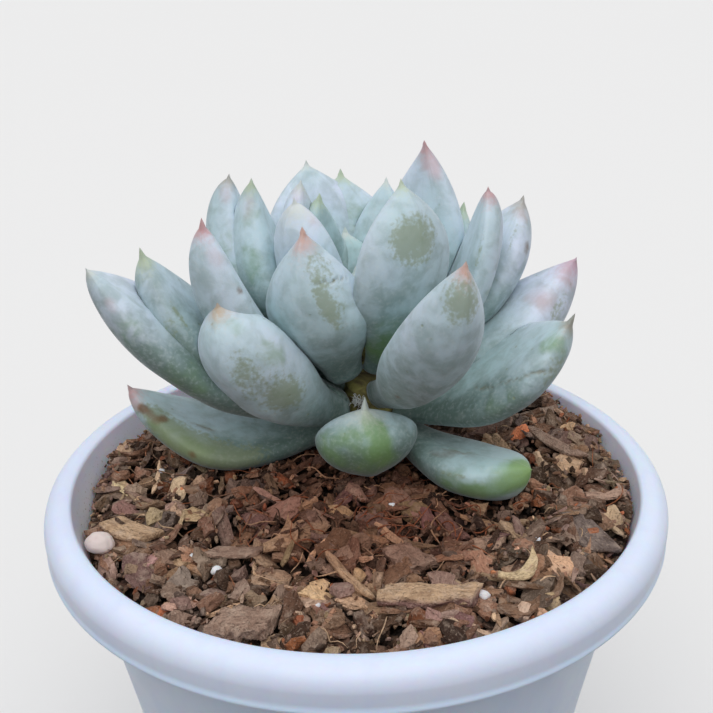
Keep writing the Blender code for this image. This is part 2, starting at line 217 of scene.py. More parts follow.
class Paint:
    """A node material, with short ways to add to it."""

    def __init__(self, name: str) -> None:
        """Starts a material.

        Args:
            name: The material's name.
        """
        self.material = bpy.data.materials.new(name)
        self.material.use_nodes = True
        self.nodes = self.material.node_tree.nodes
        self.links = self.material.node_tree.links
        self.shader = self.nodes["Principled BSDF"]

    def feed(self, socket: Socket, value: object) -> None:
        """Links a socket to another, or sets its value.

        Args:
            socket: The input to feed.
            value: A socket, a colour or a number.
        """
        if isinstance(value, bpy.types.NodeSocket):
            self.links.new(value, socket)
        elif isinstance(value, tuple) and socket.type == "RGBA":
            socket.default_value = (*value, 1.0)
        else:
            socket.default_value = value

    def node(self, kind: str, settings: dict | None = None, **inputs: object) -> bpy.types.Node:
        """Adds a node.

        Args:
            kind: The node's type name, without "ShaderNode".
            settings: The node's own settings.
            **inputs: Its inputs, with "_" for a space in a name.

        Returns:
            The new node.
        """
        made = self.nodes.new(f"ShaderNode{kind}")
        for key, value in (settings or {}).items():
            setattr(made, key, value)
        for key, value in inputs.items():
            self.feed(made.inputs[key.replace("_", " ")], value)
        return made

    def place(self, stretch: Colour = (1, 1, 1)) -> Socket:
        """The place on the object, in metres, stretched along its axes."""
        coords = self.node("TexCoord").outputs["Object"]
        return self.node("Mapping", Vector=coords, Scale=stretch).outputs["Vector"]

    def attribute(self, name: str, output: str = "Fac") -> Socket:
        """A value stored on the mesh."""
        return self.node("Attribute", {"attribute_name": name}).outputs[output]

    def noise(self, scale: float, detail: float = 3, where: Socket | None = None, warp: float = 0) -> Socket:
        """A cloudy pattern from 0 to 1.

        Args:
            scale: How many clouds there are to a metre.
            detail: How many finer layers it has.
            where: The coordinates, or None for the place on the object.
            warp: How far the clouds are drawn out of shape.

        Returns:
            The pattern's socket.
        """
        where = where or self.place()
        made = self.node("TexNoise", Vector=where, Scale=scale, Detail=detail, Distortion=warp)
        return made.outputs["Fac"]

    def cells(self, scale: float, feature: str = "F1", where: Socket | None = None) -> Socket:
        """The distance to the nearest of scattered points, or to the edge between their cells."""
        where = where or self.place()
        return self.node("TexVoronoi", {"feature": feature}, Vector=where, Scale=scale).outputs["Distance"]

    def between(self, value: Socket, low: float, high: float, to: tuple[float, float] = (0, 1)) -> Socket:
        """A value spread from one range to another, and held inside it.

        Args:
            value: The value.
            low: Where it starts.
            high: Where it ends.
            to: The range that it is spread to.

        Returns:
            The new value's socket.
        """
        made = self.node("MapRange", {"interpolation_type": "SMOOTHSTEP"}, Value=value)
        for key, number in zip(("From Min", "From Max", "To Min", "To Max"), (low, high, *to)):
            made.inputs[key].default_value = number
        return made.outputs["Result"]

    def maths(self, operation: str, first: object, second: object = 0.0) -> Socket:
        """The result of a sum on two values.

        Args:
            operation: The kind of sum.
            first: The first value.
            second: The second value.

        Returns:
            The result's socket.
        """
        made = self.node("Math", {"operation": operation})
        self.feed(made.inputs[0], first)
        self.feed(made.inputs[1], second)
        return made.outputs[0]

    def mix(self, share: object, first: object, second: object, blend: str = "MIX") -> Socket:
        """A colour between two others.

        Args:
            share: How much of the second colour there is.
            first: The colour underneath.
            second: The colour on top.
            blend: How they are combined.

        Returns:
            The mixed colour's socket.
        """
        made = self.node("Mix", {"data_type": "RGBA", "blend_type": blend})
        for index, value in ((0, share), (6, first), (7, second)):
            self.feed(made.inputs[index], value)
        return made.outputs[2]

    def bump(self, height: Socket, depth: float, over: Socket | None = None, strength: float = 1.0) -> Socket:
        """A normal that follows a height.

        Args:
            height: The height's pattern.
            depth: How deep the pattern is, in metres.
            over: Another bump's normal to add it to.
            strength: How much it shows.

        Returns:
            The normal's socket.
        """
        made = self.node("Bump", Height=height, Distance=depth, Strength=strength)
        if over is not None:
            self.feed(made.inputs["Normal"], over)
        return made.outputs["Normal"]

    def finish(self, colour: Socket, roughness: object, normal: Socket, **uniform: float) -> bpy.types.Material:
        """Joins the patterns to the shader.

        Args:
            colour: The base colour.
            roughness: The roughness.
            normal: The bumped normal.
            **uniform: Values that are the same all over, with "_" for a space in an input's name.

        Returns:
            The finished material.
        """
        self.feed(self.shader.inputs["Base Color"], colour)
        self.feed(self.shader.inputs["Roughness"], roughness)
        self.feed(self.shader.inputs["Normal"], normal)
        for key, value in uniform.items():
            self.feed(self.shader.inputs[key.replace("_", " ")], value)
        return self.material


@dataclass(frozen=True)
class PotPlastic:
    """Smooth white plastic with a blue cast, dusty by the bark and faintly drawn down the wall, with painted light
    that makes the top of the inner wall lighter.
    """

    colour: Colour = (0.71, 0.79, 0.985)
    worn: Colour = (0.62, 0.695, 0.92)
    # Lighter colour for the top of the inner wall: painted light that lifts the shade there.
    inner: Colour = (0.93, 0.95, 1.0)
    dust: Colour = (0.26, 0.19, 0.14)

    def material(self) -> bpy.types.Material:
        """Builds the paint.

        Returns:
            The material.
        """
        paint = Paint("pot_plastic")
        cloud = paint.noise(35, 4)
        streaks = paint.noise(300, 3, paint.place((1, 1, 0.03)))
        colour = paint.mix(paint.between(cloud, 0.35, 0.75, (0, 0.5)), self.colour, self.worn)
        colour = paint.mix(paint.between(streaks, 0.5, 0.8, (0, 0.35)), colour, self.worn)
        # Painted light: the dust band at the top of the inner wall is lightened here, before the real dust specks
        # and film go over it.
        colour = paint.mix(paint.maths("MULTIPLY", paint.attribute("dust"), 0.85), colour, self.inner)
        specks = paint.between(paint.noise(1600, 3), 0.60, 0.74)
        dust = paint.maths("MULTIPLY", paint.attribute("dust"), specks)
        film = paint.maths("MULTIPLY", paint.attribute("dust"), paint.between(cloud, 0.2, 0.8, (0.0, 0.07)))
        colour = paint.mix(paint.maths("MAXIMUM", dust, film), colour, self.dust)
        roughness = paint.between(paint.noise(220, 4), 0.3, 0.7, (0.34, 0.46))
        roughness = paint.maths("MAXIMUM", roughness, paint.maths("MULTIPLY", dust, 0.8))
        normal = paint.bump(streaks, 0.00003)
        normal = paint.bump(paint.noise(900, 2), 0.000012, normal)
        return paint.finish(colour, roughness, normal, IOR=1.49, Subsurface_Weight=0.4, Subsurface_Scale=0.006)


@dataclass(frozen=True)
class LeafSkin:
    """Fleshy leaf under a pale powdery bloom, with green where it is thin, painted shade in dark green on the side
    that faces down and deep in the rosette, and old rubs and scars.
    """

    bloom: Colour = (0.46, 0.645, 0.67)
    lavender: Colour = (0.70, 0.775, 0.92)
    # Dark blue-green of the thin flesh, also laid on as painted shade on the down-facing side and deep in the
    # rosette.
    green: Colour = (0.125, 0.195, 0.17)
    olive: Colour = (0.255, 0.30, 0.17)
    fresh: Colour = (0.17, 0.32, 0.075)
    blush: Colour = (0.68, 0.42, 0.45)
    rust: Colour = (0.17, 0.085, 0.035)
    scar: Colour = (0.20, 0.195, 0.13)

    def material(self) -> bpy.types.Material:
        """Builds the paint, which reads each leaf's own values from its mesh.

        Returns:
            The material.
        """
        paint = Paint("leaf_skin")
        broad = paint.noise(70, 3, warp=0.6)
        medium = paint.noise(330, 4, warp=0.4)
        fine = paint.noise(1500, 4)
        grain = paint.noise(4200, 2)
        lavender = paint.maths("MULTIPLY", paint.attribute("lavender"), paint.between(broad, 0.25, 0.7, (0.45, 1.1)))
        colour = paint.mix(lavender, self.bloom, self.lavender)
        # The green value holds the thin flesh and painted shade together; both are mixed in as dark green here.
        thin = paint.maths("ADD", paint.attribute("green"), paint.between(medium, 0.3, 0.7, (-0.16, 0.16)))
        colour = paint.mix(paint.between(thin, -0.15, 0.95, (0, 0.97)), colour, self.green)
        skin = paint.attribute("skin", "Vector")
        drawn = paint.noise(230, 4, skin, 1.1)
        patchy = paint.noise(150, 5, warp=1.6)
        cloudy = paint.between(medium, 0.40, 0.78, (0, 0.15))
        colour = paint.mix(cloudy, colour, (0.29, 0.40, 0.35))
        colour = paint.mix(paint.between(drawn, 0.50, 0.74, (0, 0.22)), colour, (0.27, 0.38, 0.35))
        colour = paint.mix(paint.between(patchy, 0.52, 0.74, (0, 0.13)), colour, (0.66, 0.75, 0.77))
        colour = paint.mix(paint.between(patchy, 0.46, 0.30, (0, 0.09)), colour, (0.33, 0.43, 0.45))
        powder = paint.between(fine, 0.45, 0.75, (0, 0.22))
        colour = paint.mix(powder, colour, (0.66, 0.73, 0.76))
        colour = self.marked(paint, colour, "fresh", medium, 0.9, self.fresh, 0.72)
        colour = self.marked(paint, colour, "blush", medium, 0.8, self.blush, 0.5)
        colour = self.marked(paint, colour, "rub", paint.noise(1300, 5), 1.7, self.olive, 0.66, (0.2, 0.8))
        colour = self.marked(paint, colour, "rust", medium, 1.2, self.rust, 0.85)
        specks = paint.between(paint.cells(420), 0.06, 0.16, (1, 0))
        specks = paint.maths("MULTIPLY", specks, paint.between(medium, 0.56, 0.66, (0, 0.6)))
        colour = paint.mix(specks, colour, self.olive)
        colour = self.marked(paint, colour, "scar", fine, 0.9, self.scar, 0.8)
        tip = paint.maths("ADD", paint.attribute("tip"), paint.between(fine, 0.3, 0.7, (-0.12, 0.12)))
        colour = paint.mix(paint.between(tip, 0.02, 1.2, (0, 0.74)), colour, paint.attribute("tip_colour", "Color"))
        rough = paint.between(medium, 0.3, 0.75, (0.46, 0.62))
        normal = paint.bump(broad, 0.0004)
        normal = paint.bump(medium, 0.00010, normal)
        normal = paint.bump(drawn, 0.00012, normal)
        normal = paint.bump(grain, 0.00003, normal)
        dents = paint.maths("MAXIMUM", paint.attribute("scar"), paint.maths("MULTIPLY", specks, 0.4))
        normal = paint.bump(paint.maths("SUBTRACT", 1.0, dents), 0.0003, normal)
        return paint.finish(
            colour,
            rough,
            normal,
            Specular_IOR_Level=0.4,
            Sheen_Weight=0.30,
            Sheen_Roughness=0.35,
            Sheen_Tint=(0.86, 0.9, 1.0),
            Subsurface_Weight=0.14,
            Subsurface_Radius=(0.8, 1.0, 0.7),
            Subsurface_Scale=0.0016,
        )

    @staticmethod
    def marked(
        paint: Paint,
        colour: Socket,
        name: str,
        pattern: Socket,
        rough: float,
        mark: Colour,
        most: float,
        edge: tuple[float, float] = (0.08, 0.95),
    ) -> Socket:
        """Adds a kind of mark, with an edge broken up by a pattern.

        Args:
            paint: The paint to add it to.
            colour: The colour underneath.
            name: The mesh value that says where the mark is.
            pattern: The pattern that breaks it up.
            rough: How much the pattern breaks it up.
            mark: The mark's colour.
            most: The most that it covers.
            edge: The values between which it comes in.

        Returns:
            The new colour's socket.
        """
        broken = paint.maths("MULTIPLY", paint.maths("SUBTRACT", pattern, 0.5), rough)
        there = paint.attribute(name)
        held = paint.maths("ADD", there, paint.maths("MULTIPLY", broken, paint.between(there, 0.02, 0.3)))
        return paint.mix(paint.between(held, *edge, (0, most)), colour, mark)


@dataclass(frozen=True)
class StemSkin:
    """Olive stem, corky where old leaves have dropped."""

    young: Colour = (0.34, 0.31, 0.10)
    old: Colour = (0.13, 0.10, 0.05)

    def material(self) -> bpy.types.Material:
        """Builds the paint.

        Returns:
            The material.
        """
        paint = Paint("stem_skin")
        bands = paint.noise(260, 4, paint.place((1, 1, 2.2)), 0.8)
        colour = paint.mix(paint.between(bands, 0.35, 0.65), self.young, self.old)
        normal = paint.bump(bands, 0.0006)
        normal = paint.bump(paint.noise(1800, 3), 0.0001, normal)
        roughness = paint.between(bands, 0.3, 0.7, (0.6, 0.85))
        return paint.finish(colour, roughness, normal, Specular_IOR_Level=0.3)


@dataclass(frozen=True)
class BarkPaint:
    """Dry bark, streaked along its grain, with a tone of its own on each piece, and painted shade from its mesh
    where it lies low and round the plant.
    """

    name: str = "bark"
    streak: float = 0.4
    grit: float = 0.3
    pale: Colour = (0.60, 0.46, 0.36)

    def material(self) -> bpy.types.Material:
        """Builds the paint, which reads each piece's tone and grain from its mesh.

        Returns:
            The material.
        """
        paint = Paint(self.name)
        tone = paint.attribute("tone", "Color")
        grain = paint.attribute("grain", "Vector")
        along = paint.node("Mapping", Vector=grain, Scale=(0.3, 1.0, 1.0)).outputs["Vector"]
        fibres = paint.noise(1500, 5, along, 0.9)
        blotch = paint.noise(420, 4, grain, 0.5)
        crumbs = paint.noise(2400, 4, grain)
        pits = paint.between(paint.cells(1700, "F1", grain), 0.12, 0.4, (1, 0))
        dark = paint.mix(1.0, tone, (0.40, 0.34, 0.31), "MULTIPLY")
        colour = paint.mix(paint.between(fibres, 0.55, 0.32, (0, self.streak)), tone, dark)
        colour = paint.mix(paint.between(blotch, 0.50, 0.74, (0, 0.4)), colour, self.pale)
        colour = paint.mix(paint.between(blotch, 0.46, 0.28, (0, 0.5)), colour, dark)
        colour = paint.mix(paint.between(crumbs, 0.54, 0.72, (0, self.grit)), colour, self.pale)
        colour = paint.mix(paint.maths("MULTIPLY", pits, 0.3), colour, dark)
        # Painted shade where pieces lie low, and painted shadow with damp round the plant, multiplied in from the
        # mesh.
        colour = paint.mix(1.0, colour, paint.attribute("dry", "Color"), "MULTIPLY")
        roughness = paint.between(crumbs, 0.3, 0.7, (0.75, 0.95))
        normal = paint.bump(blotch, 0.0009)
        normal = paint.bump(fibres, 0.0005, normal)
        normal = paint.bump(crumbs, 0.0005, normal)
        return paint.finish(colour, roughness, normal, Specular_IOR_Level=0.25)


@dataclass(frozen=True)
class MouldAndShadePaint:
    """Dark mould between the pieces of bark, near-black as painted shade for the deep gaps as well."""

    # Near-black: the mould's own dark colour, and painted shade for the deep gaps between the pieces.
    dark: Colour = (0.016, 0.010, 0.007)
    light: Colour = (0.075, 0.042, 0.026)

    def material(self) -> bpy.types.Material:
        """Builds the paint.

        Returns:
            The material.
        """
        paint = Paint("mould")
        lumps = paint.noise(500, 5, warp=0.6)
        colour = paint.mix(paint.between(lumps, 0.4, 0.7), self.dark, self.light)
        roughness = paint.between(lumps, 0.3, 0.7, (0.82, 0.98))
        normal = paint.bump(lumps, 0.0012)
        normal = paint.bump(paint.noise(2200, 3), 0.0003, normal)
        return paint.finish(colour, roughness, normal, Specular_IOR_Level=0.2)


@dataclass(frozen=True)
class PalePaint:
    """Pale mineral, such as a pebble or a grain of perlite, with pits and faint veins."""

    name: str
    colour: Colour
    shade: Colour
    pits: float
    depth: float

    def material(self) -> bpy.types.Material:
        """Builds the paint.

        Returns:
            The material.
        """
        paint = Paint(self.name)
        veins = paint.noise(self.pits * 0.4, 4, warp=1.2)
        grain = paint.noise(self.pits * 3, 4)
        colour = paint.mix(paint.between(veins, 0.35, 0.75), self.colour, self.shade)
        colour = paint.mix(paint.between(grain, 0.55, 0.8, (0, 0.4)), colour, self.shade)
        roughness = paint.between(grain, 0.3, 0.7, (0.5, 0.75))
        normal = paint.bump(veins, self.depth)
        normal = paint.bump(grain, self.depth / 4, normal)
        return paint.finish(colour, roughness, normal, Subsurface_Weight=0.1, Subsurface_Scale=0.001)


@dataclass(frozen=True)
class FloorPaint:
    """Plain pale paper for the studio floor."""

    colour: Colour = (0.785, 0.783, 0.780)
    shade: Colour = (0.770, 0.768, 0.766)

    def material(self) -> bpy.types.Material:
        """Builds the paint.

        Returns:
            The material.
        """
        paint = Paint("floor_paper")
        cloud = paint.noise(3, 3)
        colour = paint.mix(cloud, self.colour, self.shade)
        roughness = paint.between(cloud, 0.3, 0.7, (0.85, 0.95))
        return paint.finish(colour, roughness, paint.bump(paint.noise(900, 2), 0.00002), Specular_IOR_Level=0.1)


# ---- pot


@dataclass(frozen=True)
class PotSizes:
    """The pot's sizes."""

    height: float = 90 * MM
    rim: float = 55 * MM
    rim_drop: float = 7 * MM
    crown: float = 3.6 * MM
    rim_inside: float = 50 * MM
    neck: float = 48.6 * MM
    neck_drop: float = 12 * MM
    foot: float = 35.5 * MM
    wall: float = 1.8 * MM
    floor: float = 2.4 * MM
    recess: float = 1.5 * MM
    foot_ring: float = 4 * MM
    centre_drain: float = 5 * MM
    side_drain: float = 2.4 * MM
    side_drain_circle: float = 21 * MM
    side_drains: int = 6
    segments: int = 224

    @property
    def neck_z(self) -> float:
        """The height of the neck, under the rim."""
        return self.height - self.neck_drop

    def outside(self, z: float) -> float:
        """The outside of the wall at a height."""
        share = z / self.neck_z
        return self.foot + (self.neck - self.foot) * (0.86 * share + 0.14 * share**4)

    def inside(self, z: float) -> float:
        """The inside of the wall at a height, out to the rim.

        Args:
            z: The height.

        Returns:
            The radius.
        """
        if z < self.neck_z:
            return self.outside(z) - self.wall
        low = self.neck - self.wall
        share = (z - self.neck_z) / (self.neck_drop - self.crown / 4)
        return low + (self.rim_inside - low) * min(share, 1.0)


@dataclass
class Pot:
    """The round tapered pot, with a rolled rim, a cove under it and drain holes in its floor."""

    DRILL_SIDES = 40
    DRILL_DEPTH = 9 * MM
    DRILL_TURN = 0.05
    # The band at the top of the inner wall that carries dust and, in the paint, painted light.
    DUST_TOP = 6 * MM
    DUST_FADE = 5 * MM
    SHARP = math.radians(35)

    sizes: PotSizes
    finish: PotPlastic

    def profile(self) -> list[tuple[float, float]]:
        """The outline of half the pot, as radius and height, from the middle of the floor's underside.

        Returns:
            The points.
        """
        s = self.sizes
        top, edge = s.height, s.height - s.rim_drop
        line = [(0, s.recess), (s.centre_drain * 2, s.recess), (s.foot - s.foot_ring - 0.6 * MM, s.recess)]
        line += self.arc(s.foot - s.foot_ring - 0.6 * MM, s.recess - 0.8 * MM, 0.8 * MM, 90, 10, 4)
        line += self.arc(s.foot - s.foot_ring + 1.0 * MM, 0.7 * MM, 0.7 * MM, 190, 270, 4)
        line += self.arc(s.foot - 0.9 * MM, 0.9 * MM, 0.9 * MM, 270, 355, 6)
        line += [(s.outside(z), z) for z in np.linspace(1.6 * MM, s.neck_z - 0.4 * MM, 30)]
        cove = [(0.5, 0.9), (1.1, 1.8), (1.8, 2.6), (2.7, 3.4), (3.8, 3.95), (4.8, 4.2)]
        line += [(s.neck + x * MM, s.neck_z + z * MM) for x, z in cove]
        line += self.arc(s.rim - 0.72 * MM, edge + 0.1 * MM, 0.7 * MM, -60, 30, 6)
        line += [(s.rim - 0.24 * MM, edge + 0.8 * MM), (s.rim - 0.2 * MM, edge + 1.3 * MM)]
        line += self.arc(s.rim - s.crown, top - s.crown, s.crown, 0, 80, 14)
        line += [(s.rim_inside + 1.2 * MM, top - 0.02 * MM)]
        line += self.arc(s.rim_inside + 0.75 * MM, top - 0.8 * MM, 0.75 * MM, 100, 175, 6)
        line += [(s.inside(z), z) for z in np.linspace(top - 1.6 * MM, s.recess + s.floor + 0.6 * MM, 34)]
        low = s.recess + s.floor
        line += [(s.inside(low) - 0.4 * MM, low), (s.centre_drain * 2, low), (0, low)]
        return line

    @staticmethod
    def arc(x: float, z: float, radius: float, start: float, end: float, steps: int) -> list[tuple[float, float]]:
        """Points on part of a circle.

        Args:
            x: The circle's middle, from the pot's axis.
            z: The circle's middle height.
            radius: The circle's radius.
            start: The first angle, in degrees.
            end: The last angle, in degrees.
            steps: How many points there are.

        Returns:
            The points, as radius and height.
        """
        angles = np.radians(np.linspace(start, end, steps))
        return [(x + radius * math.cos(a), z + radius * math.sin(a)) for a in angles]

    def turned(self) -> bpy.types.Object:
        """The outline turned about the axis, before its holes are cut.

        Returns:
            The pot without its holes.
        """
        line, segments = self.profile(), self.sizes.segments
        angles = circle_angles(segments)
        rings = [np.stack([r * np.cos(angles), r * np.sin(angles), np.full(segments, z)], 1) for r, z in line[1:-1]]
        ends = np.array([[0, 0, line[0][1]], [0, 0, line[-1][1]]])
        points = np.concatenate([*rings, ends])
        faces = loft_faces(len(rings), segments)
        return new_mesh_object("pot_shell", points, faces)

    def drill(self, pot: bpy.types.Object) -> None:
        """Cuts the drain holes through the floor.

        Args:
            pot: The pot to cut.
        """
        s = self.sizes
        holes = [(0.0, 0.0, s.centre_drain)]
        for i in range(s.side_drains):
            a = 2 * math.pi * i / s.side_drains
            holes.append((s.side_drain_circle * math.cos(a), s.side_drain_circle * math.sin(a), s.side_drain))
        bm = bmesh.new()
        for x, y, radius in holes:
            place = Matrix.Translation((x, y, s.recess + s.floor / 2)) @ Matrix.Rotation(self.DRILL_TURN, 4, "Z")
            bmesh.ops.create_cone(
                bm,
                cap_ends=True,
                segments=self.DRILL_SIDES,
                radius1=radius,
                radius2=radius,
                depth=self.DRILL_DEPTH,
                matrix=place,
            )
        tool = link_new("drain_tool", to_mesh(bm, "drain_tool"))
        modifier = pot.modifiers.new("drains", "BOOLEAN")
        modifier.operation = "DIFFERENCE"
        modifier.solver = "EXACT"
        modifier.object = tool
        graph = bpy.context.evaluated_depsgraph_get()
        drilled = bpy.data.meshes.new_from_object(pot.evaluated_get(graph))
        pot.modifiers.clear()
        pot.data = drilled
        bpy.data.objects.remove(tool)

    def build(self) -> bpy.types.Object:
        """Builds the pot and dresses it.

        Returns:
            The finished pot.
        """
        s = self.sizes
        pot = self.turned()
        self.drill(pot)
        points = np.array([v.co for v in pot.data.vertices])
        radius = np.hypot(points[:, 0], points[:, 1])
        above = points[:, 2] - (s.height - self.DUST_TOP)
        inner = radius < np.array([s.inside(float(z)) for z in points[:, 2]]) + 0.3 * MM
        # This band mask drives both the real dust and the painted light on the inner wall.
        dust = np.where(inner, np.clip(1 - above / self.DUST_FADE, 0, 1), 0)
        set_values(pot, "dust", dust)
        pot.data.shade_smooth()
        pot.data.set_sharp_from_angle(angle=self.SHARP)
        pot.data.materials.clear()
        pot.data.materials.append(self.finish.material())
        return dress(pot, "pot_plastic", "pot")


def dress(obj: bpy.types.Object, slot: str | None, *nodes: str) -> bpy.types.Object:
    """Ties a finished piece to the frame.

    Args:
        obj: The piece.
        slot: The record's material slot, or None for a piece that has none; not used.
        *nodes: The frame's nodes that it stands for.

    Returns:
        The same piece.
    """
    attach(obj, BODY)
    if nodes:
        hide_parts(*nodes)
    return obj


# ---- stem and leaves


@dataclass(frozen=True)
class StemSizes:
    """The stem's sizes, from the edge of the bed up."""

    x: float = 4 * MM
    y: float = 12 * MM
    lean_x: float = -3 * MM
    lean_y: float = 2 * MM
    bed_edge: float = 85.5 * MM
    height: float = 28 * MM
    sunk: float = 9 * MM
    foot: float = 5.4 * MM
    top: float = 3.2 * MM

    def at(self, height: float) -> tuple[np.ndarray, float]:
        """The middle of the stem at a height above the edge of the bed, and its radius there.

        Args:
            height: The height.

        Returns:
            The middle and the radius.
        """
        share = max(height / self.height, 0)
        middle = np.array([self.x + self.lean_x * share, self.y + self.lean_y * share, self.bed_edge + height])
        return middle, self.foot + (self.top - self.foot) * share


@dataclass
class Stem:
    """The short stem that the leaves grow from, knobbly with old leaf scars."""

    RINGS = 30
    SIDES = 36

    sizes: StemSizes
    finish: StemSkin

    def build(self) -> bpy.types.Object:
        """Builds the stem and dresses it.

        Returns:
            The finished stem.
        """
        s = self.sizes
        angles = circle_angles(self.SIDES)
        rings = []
        for height in np.linspace(-s.sunk, s.height * 0.95, self.RINGS):
            middle, radius = s.at(height)
            knobs = 1 + 0.05 * np.sin(3 * angles + height * 900) + 0.03 * np.sin(height * 2600)
            ring = np.stack([np.cos(angles), np.sin(angles), np.zeros(self.SIDES)], 1)
            rings.append(middle + ring * (radius * knobs)[:, None])
        ends = [s.at(-s.sunk)[0], s.at(s.height)[0]]
        ends[0] = ends[0] - [0, 0, 0.2 * MM]
        points = np.concatenate([*rings, np.array(ends)])
        obj = new_mesh_object("stem_core", points, loft_faces(self.RINGS, self.SIDES))
        obj.data.materials.append(self.finish.material())
        return dress(obj, "stem", "stem")


class Tip(Enum):
    """The colour of a leaf's tip."""

    PINK = (0.62, 0.30, 0.29)
    RED = (0.56, 0.20, 0.19)
    ORANGE = (0.70, 0.34, 0.24)
    AMBER = (0.50, 0.30, 0.12)
    MAGENTA = (0.58, 0.30, 0.38)
    LIME = (0.50, 0.57, 0.34)
    BROWN = (0.38, 0.32, 0.24)
    PALE = (0.66, 0.68, 0.62)
    GREEN = (0.24, 0.38, 0.12)


class Mark(Enum):
    """A kind of mark on a leaf, and the mesh value that holds it."""

    RUBBED = "rub"
    FRESH = "fresh"
    SCAR = "scar"
    BLUSH = "blush"
    RUST = "rust"


@dataclass(frozen=True)
class LeafSizes:
    """One leaf. Its chord rises from the stem, its midline curls up, and a low point makes a long tip.

    Lengths are in millimetres and angles in degrees. Height is on the stem. Lavender, green and
    under say how much of each colour there is, under being painted shade, a darker green on the
    side that faces down. Spike is how far a fine point stands out of the tip. A low shoulder makes
    the end rounder, and widest is the share of the length where the leaf is broadest.
    """

    name: str
    height: float
    azimuth: float
    rise: float
    length: float
    width: float
    thickness: float
    curl: float = 30.0
    roll: float = 0.0
    point: float = 2.1
    tip: Tip = Tip.PALE
    tip_reach: float = 2.5
    lavender: float = 0.5
    green: float = 0.35
    # Under: painted shade, how much dark green goes on the side that faces down.
    under: float = 0.15
    spike: float = 0.8
    shoulder: float = 1.0
    widest: float = 0.53
    neck: float = 0.34


@dataclass(frozen=True)
class LeafMark:
    """A mark on a leaf.

    Along is the share of the leaf's length, and round is the angle round it in degrees, from 0 at
    the right edge as seen from the tip to 90 above and 270 below. Length and width are in
    millimetres, and turn slants the mark.
    """

    kind: Mark
    along: float
    round: float
    length: float
    width: float
    strength: float = 1.0
    turn: float = 0.0


